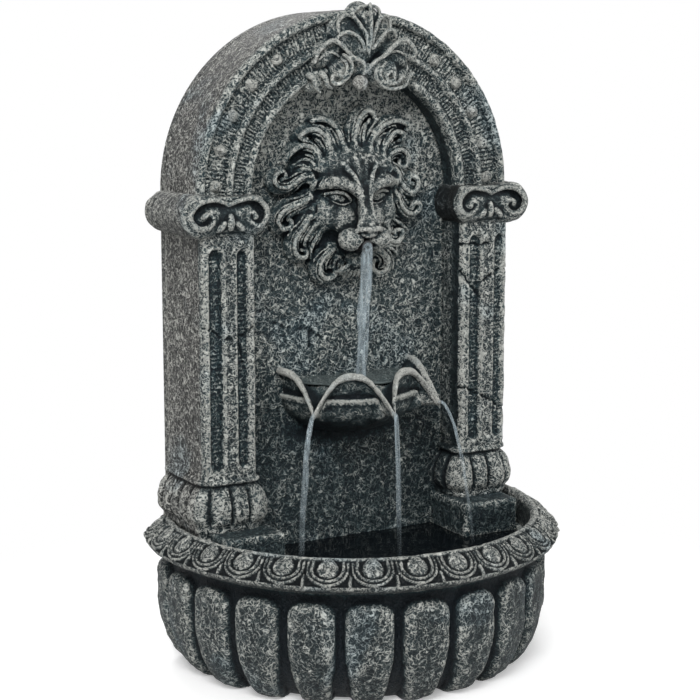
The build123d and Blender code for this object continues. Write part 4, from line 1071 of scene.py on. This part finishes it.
# Lion: mane locks as lines of x, depth and height from root to tip
MANE = [
    [(-1, 80, 468), (0, 78, 481), (3, 77, 493), (9, 75, 502), (17, 73, 505), (23, 71, 501), (24, 70, 495),
     (21, 68, 494)],
    [(9, 78, 470), (10, 75, 480), (14, 71, 491), (20, 68, 497)],
    [(-9, 80, 460), (-12, 77, 474), (-16, 74, 487), (-23, 72, 495), (-32, 69, 498), (-39, 66, 496)],
    [(-18, 78, 462), (-19, 74, 473), (-23, 71, 483), (-29, 68, 490), (-35, 64, 492)],
    [(-24, 78, 464), (-26, 76, 476), (-31, 74, 485), (-39, 72, 489), (-48, 70, 487), (-52, 68, 482),
     (-45, 66, 480)],
    [(-35, 76, 458), (-37, 74, 468), (-44, 71, 474), (-53, 69, 474), (-61, 66, 468), (-67, 64, 461)],
    [(-39, 75, 455), (-43, 71, 461), (-50, 67, 462), (-56, 63, 457)],
    [(-43, 75, 448), (-54, 74, 446), (-61, 73, 441), (-67, 72, 438), (-75, 71, 439), (-79, 70, 444),
     (-76, 69, 450), (-70, 68, 452), (-66, 67, 447), (-70, 66, 445)],
    [(-45, 74, 453), (-52, 71, 454), (-56, 67, 451), (-59, 64, 444)],
    [(-44, 76, 429), (-54, 75, 424), (-66, 74, 420), (-73, 72, 415), (-76, 71, 408), (-71, 70, 401),
     (-63, 68, 402), (-61, 67, 407), (-64, 66, 409)],
    [(-41, 74, 421), (-49, 71, 417), (-58, 67, 414), (-62, 64, 410)],
    [(-46, 76, 412), (-51, 75, 403), (-58, 73, 394), (-60, 72, 385), (-56, 70, 376), (-48, 69, 374),
     (-46, 67, 379), (-50, 66, 381)],
    [(-38, 75, 407), (-44, 71, 397), (-48, 68, 387), (-44, 64, 380)],
    [(-31, 75, 403), (-36, 71, 393), (-41, 68, 382), (-40, 64, 373)],
    [(-21, 76, 381), (-30, 75, 374), (-34, 73, 366), (-33, 72, 358), (-25, 70, 353), (-17, 69, 357),
     (-18, 67, 364), (-22, 66, 364)],
    [(-15, 74, 374), (-18, 69, 367), (-12, 64, 358)],
    [(-9, 74, 370), (-11, 71, 363), (-7, 67, 354), (2, 64, 351)],
    [(13, 80, 470), (19, 78, 480), (28, 76, 489), (39, 74, 494), (49, 72, 495), (59, 70, 492), (63, 68, 488),
     (60, 66, 487)],
    [(21, 78, 470), (29, 73, 478), (40, 69, 485), (50, 64, 488)],
    [(25, 78, 460), (31, 76, 470), (39, 74, 480), (46, 72, 485), (54, 70, 484), (56, 68, 479), (52, 66, 477)],
    [(31, 77, 455), (37, 75, 463), (45, 74, 468), (54, 72, 468), (60, 71, 462), (59, 69, 454), (53, 68, 454),
     (53, 66, 458)],
    [(32, 78, 447), (38, 77, 452), (45, 76, 449), (50, 74, 440), (57, 73, 433), (65, 72, 429), (71, 71, 434),
     (71, 70, 441), (65, 68, 444), (62, 67, 439), (68, 66, 436)],
    [(38, 75, 442), (46, 71, 436), (52, 68, 428), (60, 64, 422)],
    [(38, 78, 426), (44, 76, 430), (49, 75, 422), (55, 74, 413), (64, 72, 409), (72, 70, 411), (74, 69, 417),
     (69, 68, 419), (67, 66, 415)],
    [(34, 78, 414), (43, 73, 406), (53, 69, 400), (63, 64, 394)],
    [(32, 78, 403), (36, 77, 397), (36, 75, 390), (44, 74, 384), (52, 72, 386), (54, 71, 393), (48, 69, 394),
     (48, 68, 389)],
    [(23, 78, 378), (31, 77, 374), (36, 76, 367), (35, 74, 359), (28, 73, 356), (22, 72, 360), (23, 70, 366),
     (29, 69, 368), (33, 68, 363)],
    [(34, 75, 381), (45, 70, 376), (52, 64, 370)],
]
# Lines of the right half of the face
BROW = [(6, 88, 433), (13, 88, 438.5), (26, 84.5, 442), (42, 73, 439)]
UPPER_LID = [(9, 82, 425), (16, 84, 431), (24, 82.3, 433.2), (33, 76.5, 431.5)]
LOWER_LID = [(9.5, 81.8, 423.5), (18, 82.4, 421.8), (26, 80, 424.5), (33, 75.5, 429.5)]
TEMPLE = [(37, 78, 448), (41.5, 75, 433), (41, 74, 416)]
NOSE_SIDE = [(18, 83.5, 459), (9, 89, 446), (5.0, 92.3, 429), (5.2, 96.5, 412), (10, 98.5, 403)]
# Share of a lock's depth in front of the panel that is kept
MANE_FLATTEN = 0.82
# Strands beside a lock: shift, sink and share of its length
STRANDS = ((4.3, 0.9, 0.6), (7.8, 2.6, 0.4))
LONG_LOCK = 6


def strand(line, shift, sink, share):
    """Line beside a lock, over the first share of its length."""
    p = spline(line, 24)[: int(24 * share)]
    run = np.gradient(p, axis=0)
    across = np.stack([-run[:, 2], 0 * run[:, 0], run[:, 0]], -1)
    across /= np.maximum(np.linalg.norm(across, axis=1), 1e-6)[:, None]
    q = p + across * shift * np.linspace(0.5, 1.0, len(p))[:, None]
    q[:, 1] -= sink
    return q[:: max(1, len(q) // 7)]


def shape_mane(clay):
    clay.egg((0, 57, 424), (50, 12, 58), 8.0)
    locks = [np.array(line, float) for line in MANE]
    for p in locks:
        p[:, 1] = PANEL_DEPTH + (p[:, 1] - PANEL_DEPTH) * MANE_FLATTEN
    for p in locks:
        clay.tube(p - np.array([0, 9.5, 0]), [8.0, 7.0, 5.5, 3.5], 3.0, 18)
    for p in locks:
        strands = STRANDS if len(p) >= LONG_LOCK else STRANDS[:1]
        for shift, sink, share in strands:
            for hand in (-1, 1):
                clay.tube(strand(p, hand * shift, sink, share), [0.9, 0.9, 0.7], 0.7, 18)
    for p in locks:
        thick = 2.0 if len(p) >= LONG_LOCK else 1.5
        clay.tube(p, [thick * 0.8, thick * 0.9, thick, thick * 1.1, thick], 0.7, 30)


def sided(s, line):
    """Line of the face on its left (-1) or right (1) half."""
    return [(s * x, d, z) for x, d, z in line]


def shape_face(clay):
    """Skull, forehead and muzzle, then cheeks, brows and eyes on both sides."""
    clay.egg((0, 63, 430), (38, 18, 42), 4.0)
    clay.egg((0, 74, 454), (37, 11, 18), 8.0)
    clay.egg((0, 76, 394), (17, 15, 15), 4.0)
    for s in (-1, 1):
        clay.egg((s * 26, 69.5, 415), (17, 11.5, 16), 6.0)
        clay.egg((s * 15, 79, 408), (11, 9, 12), 5.0)
        clay.egg((s * 14.0, 90, 391), (12.5, 10.5, 10.5), 4.0)
        clay.tube(sided(s, BROW), [4.0, 5.2, 5.4, 3.4], 8.0)
        clay.egg((s * 20.5, 92, 428.0), (12.5, 14.5, 6.2), 1.5, s * 12, cut=True)
        clay.egg((s * 20.5, 76.5, 427.6), (9.4, 5.2, 4.4), 0.6, s * 14)
        clay.tube(sided(s, UPPER_LID), [1.1, 1.6, 1.6, 1.1], 0.6)
        clay.tube(sided(s, LOWER_LID), [0.7, 0.8, 0.8, 0.6], 1.0)
        clay.egg((s * 19.5, 83, 427.4), (2.2, 2.6, 2.2), 0.5, cut=True)
        clay.tube(sided(s, TEMPLE), [1.2, 2.4, 1.4], 1.5, 10, cut=True)


def shape_muzzle(clay):
    """Bridge and furrow, nose, mouth, chin and beard."""
    clay.tube([(0, 76, 460), (0, 85.5, 442), (0, 90.5, 420), (0, 95.5, 403)], [8.0, 5.8, 6.0, 8.4], 4.0)
    for s in (-1, 1):
        clay.tube(sided(s, NOSE_SIDE), [0.8, 2.0, 2.0, 2.0, 1.8], 4.0)
    furrow = [(0, 87.5, 468), (0, 92, 452), (0, 95.5, 436), (0, 99, 420)]
    clay.tube(furrow, [2.0, 3.2, 2.6, 1.0], 2.0, cut=True)
    nose = [(-12.5, 98.5, 399.5), (-6, 102.5, 400.5), (6, 102.5, 400.5), (12.5, 98.5, 399.5)]
    clay.tube(nose, [1.9, 2.4, 2.4, 1.9], 1.4)
    clay.egg((0, 98.5, 397), (8.5, 4.8, 4.6), 1.0)
    for s in (-1, 1):
        clay.egg((s * 6.5, 104, 397), (3.6, 4.0, 1.7), 0.6, s * 20, cut=True)
    clay.tube([(0, 104.5, 394), (0, 104, 387)], [0.9, 1.0], 0.8, 6, cut=True)
    clay.egg((0, 76, 371), (11, 8.0, 8.0), 3.0)
    clay.egg((0, 100, 384.0), (9.5, 16, 4.2), 1.0, cut=True)
    for x in range(-16, 17, 4):
        hair = [(x * 0.7, 79, 371 - 0.02 * x * x), (x, 74, 361), (x * 1.1, 68, 352 + 0.03 * x * x)]
        clay.tube(hair, [1.8, 1.8, 0.9], 1.0, 10)


def make_lion():
    clay = Clay((-86, 49, 342), (86, 108, 512), 0.82)
    shape_mane(clay)
    shape_face(clay)
    shape_muzzle(clay)
    clay.keep_in_front(52.5)
    points, faces = clay.mesh()
    points = grown(points, faces, hammered(points, 0.5, seed=91) + 0.35 * noise(points, 2.6, 93))
    x, d, z = points.T
    face = smooth_step(1.15, 0.9, np.hypot(x / 40, (z - 424) / 50))
    warm = 0.1 + 0.3 * face * smooth_step(76, 84, d)
    eye = np.hypot((np.abs(x) - 20.5) / 13, (z - 428) / 7.5)
    # Painted shade in the mouth, round the chin, in the eye sockets, along the furrow of the nose and on the
    # deepest parts near the panel
    painted_hollow_shade = [
        0.95 * (smooth_step(1.1, 0.7, np.hypot(x / 12, (z - 384) / 6)) * (d < 98)),
        0.7 * smooth_step(1.2, 0.6, np.hypot(x / 16, (z - 372) / 9)) * (d > 70),
        0.9 * smooth_step(1.1, 0.8, eye) * smooth_step(81.5, 79.5, d),
        0.8 * smooth_step(4.0, 2.0, np.abs(x)) * smooth_step(405, 425, z) * smooth_step(474, 462, z),
        0.9 * smooth_step(72, 64, d),
    ]
    piece("lion_head", points, faces, CARVED, ["lion_mask"], clay.step, np.max(painted_hollow_shade, axis=0), warm)


# Shell bowl: three drip lips, given by their angles, between rolled scallops
LIPS = (-120.0, -47.0, 0.5, 48.0, 120.0)
LIP_HEIGHT, SCALLOP_RISE = 239.5, 33.0
SCALLOP_RADIUS, LIP_REACH = 71.5, 19.0
EDGE_TUBE = 3.2
SHELL_AXIS = 52.5
SHELL_BACK = 51.8
BELLY, CORD, SCALLOP, EDGE, INSIDE = range(5)


def scallop(turn):
    """Height of the scalloped edge at angles in degrees, from 0 at a lip to 1 at the crown of an arch."""
    rise = np.zeros(turn.shape)
    for low, high in zip(LIPS[:-1], LIPS[1:]):
        inside = (turn >= low) & (turn <= high)
        part = np.abs((turn - (low + high) / 2) / ((high - low) / 2)) ** 2.8
        rise = np.where(inside, 1 - part, rise)
    return rise


def make_shell():
    ends = (-90.0, *LIPS[1:-1], 90.0)
    spans = [np.linspace(low, high, 66, endpoint=False) for low, high in zip(ends[:-1], ends[1:])]
    turn = np.append(np.concatenate(spans), ends[-1])
    arch = scallop(turn)
    theta = np.radians(turn)
    lip = 1 - arch
    edge_r = SCALLOP_RADIUS + LIP_REACH * lip
    edge_z = LIP_HEIGHT + SCALLOP_RISE * arch
    rings, kinds = [], []

    def ring(kind, r, z):
        rings.append((r + 0 * theta, z + 0 * theta))
        kinds.append(kind)

    swell = smooth_step(0.3, 1.0, lip)
    for t in np.linspace(-pi / 2 + 0.14, -0.06, 20):
        near = swell * smooth_step(-0.7, -0.06, t)
        ring(BELLY, (67.0 + 8.0 * near) * np.cos(t), 245 - 6 * near * np.cos(t) + 36.5 * np.sin(t))
    belly_r = rings[-1][0]
    foot = np.minimum(247.0, edge_z - 5.5)
    bead = smooth_step(0.25, 0.5, arch)
    for out, up in ((1.2, -1.0), (2.2, 0.3), (1.5, 1.5)):
        ring(CORD, belly_r + out * bead, foot + up)
    ring(SCALLOP, belly_r - 1.6 * bead, foot + 2.6 * bead)
    for s in np.linspace(0.12, 0.94, 9):
        r = belly_r - 2.4 * bead + s * (edge_r - 3.0 - belly_r + 2.4 * bead)
        ring(SCALLOP, r, foot + 3 * bead + s * (edge_z - 4.0 - foot - 3 * bead))
    for a in np.linspace(-1.9, 2.6, 13):
        ring(EDGE, edge_r - 2.2 + EDGE_TUBE * np.cos(a), edge_z - 2.2 + EDGE_TUBE * np.sin(a))
    inner_z = 256.0 + 5 * lip
    for s in np.linspace(0.10, 1.0, 8):
        ring(INSIDE, edge_r - 4.8 + s * (58.0 - edge_r + 4.8), edge_z - 2.8 + s * (inner_z - edge_z + 2.8))
    for t in np.linspace(-0.15, -pi / 2 + 0.18, 10):
        ring(INSIDE, 56.0 * np.cos(t), 255 + 38.0 * np.sin(t))
    r, z = np.moveaxis(np.array(rings), 1, 0)
    kinds = np.array(kinds)[:, None]
    points = np.stack([r * np.sin(theta), SHELL_AXIS + r * np.cos(theta), z], -1)
    points = grown(points, grid_quads(points, "rows")[0], hammered(points, 0.7, seed=95))
    points[..., 1] = np.maximum(points[..., 1], SHELL_BACK)
    # Painted shade on the belly, deepening towards its bottom, and inside the bowl below the water line; the
    # scallops, the cord and the edges are made lighter
    painted_shade = np.select(
        [kinds == BELLY, kinds == SCALLOP, kinds == INSIDE],
        [0.75 + 0.95 * smooth_step(246, 212, z), -0.1, 1.2 - 1.1 * smooth_step(258, 268, z)],
        -1.2,
    )
    warm = np.where(kinds == EDGE, 0.6, 0.2)
    grid_piece("scalloped_bowl", points, "rows", CARVED, ["shell_bowl"], 1.4, painted_shade, warm)


# Water: still surfaces in the basin and the bowl, one stream from the mouth and three from the lips
POOL_BACK = 54.6
BOWL_LEVEL = 262.0
STREAM_TOP, STREAM_FALL = 237.0, 131.0
MOUTH_STREAM = [
    (0, 94, 384.4), (-0.4, 97.5, 383), (-1.4, 98.5, 378), (-2.4, 98.5, 368), (-4, 97, 330), (-5.2, 96, 295),
    (-6, 95.5, BOWL_LEVEL),
]
# Each lip's stream: name, angle, how far it is thrown, and its radii
LIP_STREAMS = (
    ("left", LIPS[1], 36.0, [1.8, 2.6, 3.2, 2.9, 2.5]),
    ("centre", LIPS[2], 8.0, [1.8, 2.4, 2.8, 2.5, 2.1]),
    ("right", LIPS[3], 32.0, [1.0, 1.7, 1.9, 1.6, 1.4]),
)


def make_pool(name, axis, radius, level, material, drops, swell=0.0):
    """Half disc of water with rings about each drop, given as x, depth and height of its waves."""
    r = np.concatenate([np.linspace(2.0, radius, POOL_ROWS), np.linspace(radius, 2.0, 6)])[:, None]
    top = np.arange(len(r))[:, None] < POOL_ROWS
    stop = pi / 2 + np.arcsin(np.clip((axis - POOL_BACK) / r, -1, 1))
    angle = stop * np.linspace(-1, 1, POOL_COLUMNS)[None, :]
    reach = r * (1 + swell * scallop(np.degrees(angle)))
    x, d = reach * np.sin(angle), np.maximum(axis + reach * np.cos(angle), POOL_BACK)
    wave = 0.25 * noise(np.stack([x, d, 0 * x], -1), 14.0, 101)
    for spot_x, spot_d, size in drops:
        away = np.hypot(x - spot_x, d - spot_d)
        wave = wave + size * np.cos(away * 0.75) * np.exp(-away / 14.0)
    points = np.stack([x, d, level + np.where(top, wave, -1.6)], -1)
    grid_piece(name, points, "rows", material, (), 3.0, slot=None)


def make_stream(name, path, radii, material, flat=1.0):
    line = spline(path, STREAM_ROWS)
    turn = np.linspace(0, 2 * pi, STREAM_COLUMNS, endpoint=False)
    wobble = 1 + 0.14 * noise(line * np.array([1.0, 1.0, 0.35]), 7.0, 107)
    run = np.gradient(line, axis=0)
    run /= np.linalg.norm(run, axis=1)[:, None]
    side = np.cross(run, np.array([0.0, 1.0, 0.0]))
    side /= np.maximum(np.linalg.norm(side, axis=1), 1e-6)[:, None]
    up = np.cross(side, run)
    across, out = np.cos(turn)[None, :, None], np.sin(turn)[None, :, None]
    around = side[:, None, :] * across + flat * up[:, None, :] * out
    lobes = 1 + 0.10 * np.sin(3 * turn)[None, :] * np.sin(line[:, 2] / 9.0)[:, None]
    thick = along(radii, STREAM_ROWS) * wobble
    points = line[:, None, :] + around * thick[:, None, None] * lobes[..., None]
    grid_piece(name, points, "columns", material, (), 1.5, slot=None)


def make_water():
    pool = water_material("pool_water", (0.005, 0.007, 0.009), False)
    bowl = water_material("bowl_water", (0.11, 0.135, 0.135), False)
    jet = water_material("falling_water", (0.62, 0.74, 0.80), True)
    drops = []
    for name, angle, throw, radii in LIP_STREAMS:
        a = radians(angle)
        path = [(86, 240.5), (90, 238.5)]
        for drop in np.linspace(0, 1, 9):
            fall = (STREAM_FALL - 2.0) * drop + 2.0
            path.append((92 + throw * np.sqrt(fall / STREAM_FALL), STREAM_TOP - fall))
        spots = [(r * sin(a), SHELL_AXIS + r * cos(a), z) for r, z in path]
        make_stream(f"stream_{name}", spots, radii, jet, 0.7)
        drops.append((spots[-1][0], spots[-1][1], 0.7))
    make_stream("stream_mouth", MOUTH_STREAM, [3.7, 4.6, 5.4, 5.4, 5.2, 5.0], jet)
    make_pool("basin_pool", AXIS_DEPTH, 163.6, WATER_LEVEL, pool, drops)
    make_pool("bowl_pool", SHELL_AXIS, 59.5, BOWL_LEVEL, bowl, [(*MOUTH_STREAM[-1][:2], 0.5)], 0.055)


make_basin()
make_rim()
make_panel()
make_arch()
make_beads()
for side, sign, cracks in (("left", -1, LEFT_CRACKS), ("right", 1, RIGHT_CRACKS)):
    make_shaft(side, sign, cracks)
    make_base(side, sign)
    make_plinth(side, sign)
for side, sign in (("left", -1), ("right", 1)):
    make_capital(side, sign)
make_keystone()
make_lion()
make_shell()
make_water()


# Camera, light and stage, in metres
CAMERA = (-0.7819, -1.2983, 0.5510)
TARGET = (-0.0091, 0.0510, 0.2880)
LIT_SPOT = (0.0, 0.03, 0.30)
FLOOR = 4.0
WHITE = (1.0, 1.0, 1.0, 1.0)


def aimed(name, data, place, target):
    """Object for a camera or a light, turned to its target."""
    obj = bpy.data.objects.new(name, data)
    obj.location = place
    obj.rotation_euler = (Vector(target) - Vector(place)).to_track_quat("-Z", "Y").to_euler()
    scene.collection.objects.link(obj)
    return obj


def soft_box(name, place, size, power):
    data = bpy.data.lights.new(name, "AREA")
    data.shape = "SQUARE"
    data.size = size
    data.energy = power
    aimed(name, data, place, LIT_SPOT)


def seen_or_lit(tree, lit, seen):
    """One shader for what is looked at, also in gloss or through water, and one for the light it gives."""
    rays = ("Is Camera Ray", "Is Glossy Ray", "Is Transmission Ray")
    camera, gloss, water = (add(tree, "ShaderNodeLightPath", output=ray) for ray in rays)
    return add(tree, "ShaderNodeMixShader", {0: camera.at_least(gloss).at_least(water), 1: lit, 2: seen})


def make_backdrop():
    studio = bpy.data.worlds.new("studio")
    scene.world = studio
    studio.use_nodes = True
    tree = studio.node_tree
    sky = tree.nodes["Background"]
    fill(sky, {0: WHITE, 1: 0.55})
    seen = add(tree, "ShaderNodeBackground", {"Color": WHITE, "Strength": 1.0})
    fill(tree.nodes["World Output"], {0: seen_or_lit(tree, Value(tree, sky.outputs[0]), seen)})


def make_floor():
    """Paper that keeps a soft shadow near the fountain and fades to white away from it."""
    mesh = bpy.data.meshes.new("floor")
    corners = [(-FLOOR, -FLOOR, 0), (FLOOR, -FLOOR, 0), (FLOOR, FLOOR, 0), (-FLOOR, FLOOR, 0)]
    mesh.from_pydata(corners, [], [(0, 1, 2, 3)])
    floor = bpy.data.objects.new("floor", mesh)
    scene.collection.objects.link(floor)
    paper, tree, shader, place = surface("paper")
    fill(shader, {"Base Color": (0.9, 0.9, 0.9, 1.0), "Roughness": 0.9})
    glow = add(tree, "ShaderNodeEmission", {"Color": WHITE, "Strength": 0.3})
    white = add(tree, "ShaderNodeEmission", {"Color": WHITE, "Strength": 1.0})
    near = add(tree, "ShaderNodeAddShader", {0: Value(tree, shader.outputs[0]), 1: glow})
    reach = add(tree, "ShaderNodeVectorMath", {0: place}, "Value", operation="LENGTH")
    away = reach.ranged(0.25, 0.55, 0.0, 1.0, "SMOOTHSTEP")
    fade = add(tree, "ShaderNodeMixShader", {0: away, 1: near, 2: white})
    dim = add(tree, "ShaderNodeBsdfDiffuse", {"Color": (0.45, 0.45, 0.45, 1.0)})
    fill(tree.nodes["Material Output"], {0: seen_or_lit(tree, dim, fade)})
    mesh.materials.append(paper)


camera_data = bpy.data.cameras.new("camera")
camera_data.lens = 88.46
camera_data.sensor_width = 36.0
scene.camera = aimed("camera", camera_data, CAMERA, TARGET)
soft_box("key", (-1.1, -1.5, 1.9), 1.0, 42.0)
soft_box("fill", (1.7, -1.4, 0.9), 1.4, 9.0)
soft_box("rear", (0.4, 1.6, 1.6), 1.2, 16.0)
make_backdrop()
make_floor()
bpy.context.scene.view_settings.view_transform = "Standard"

slot_of = {part["node"]: part["material_slot"] for part in frame["record"]["subparts"]}
for name, node in frame["nodes"].items():
    if not node.hide_render:
        node.data.materials.clear()
        node.data.materials.append(FITTINGS[slot_of[name]])
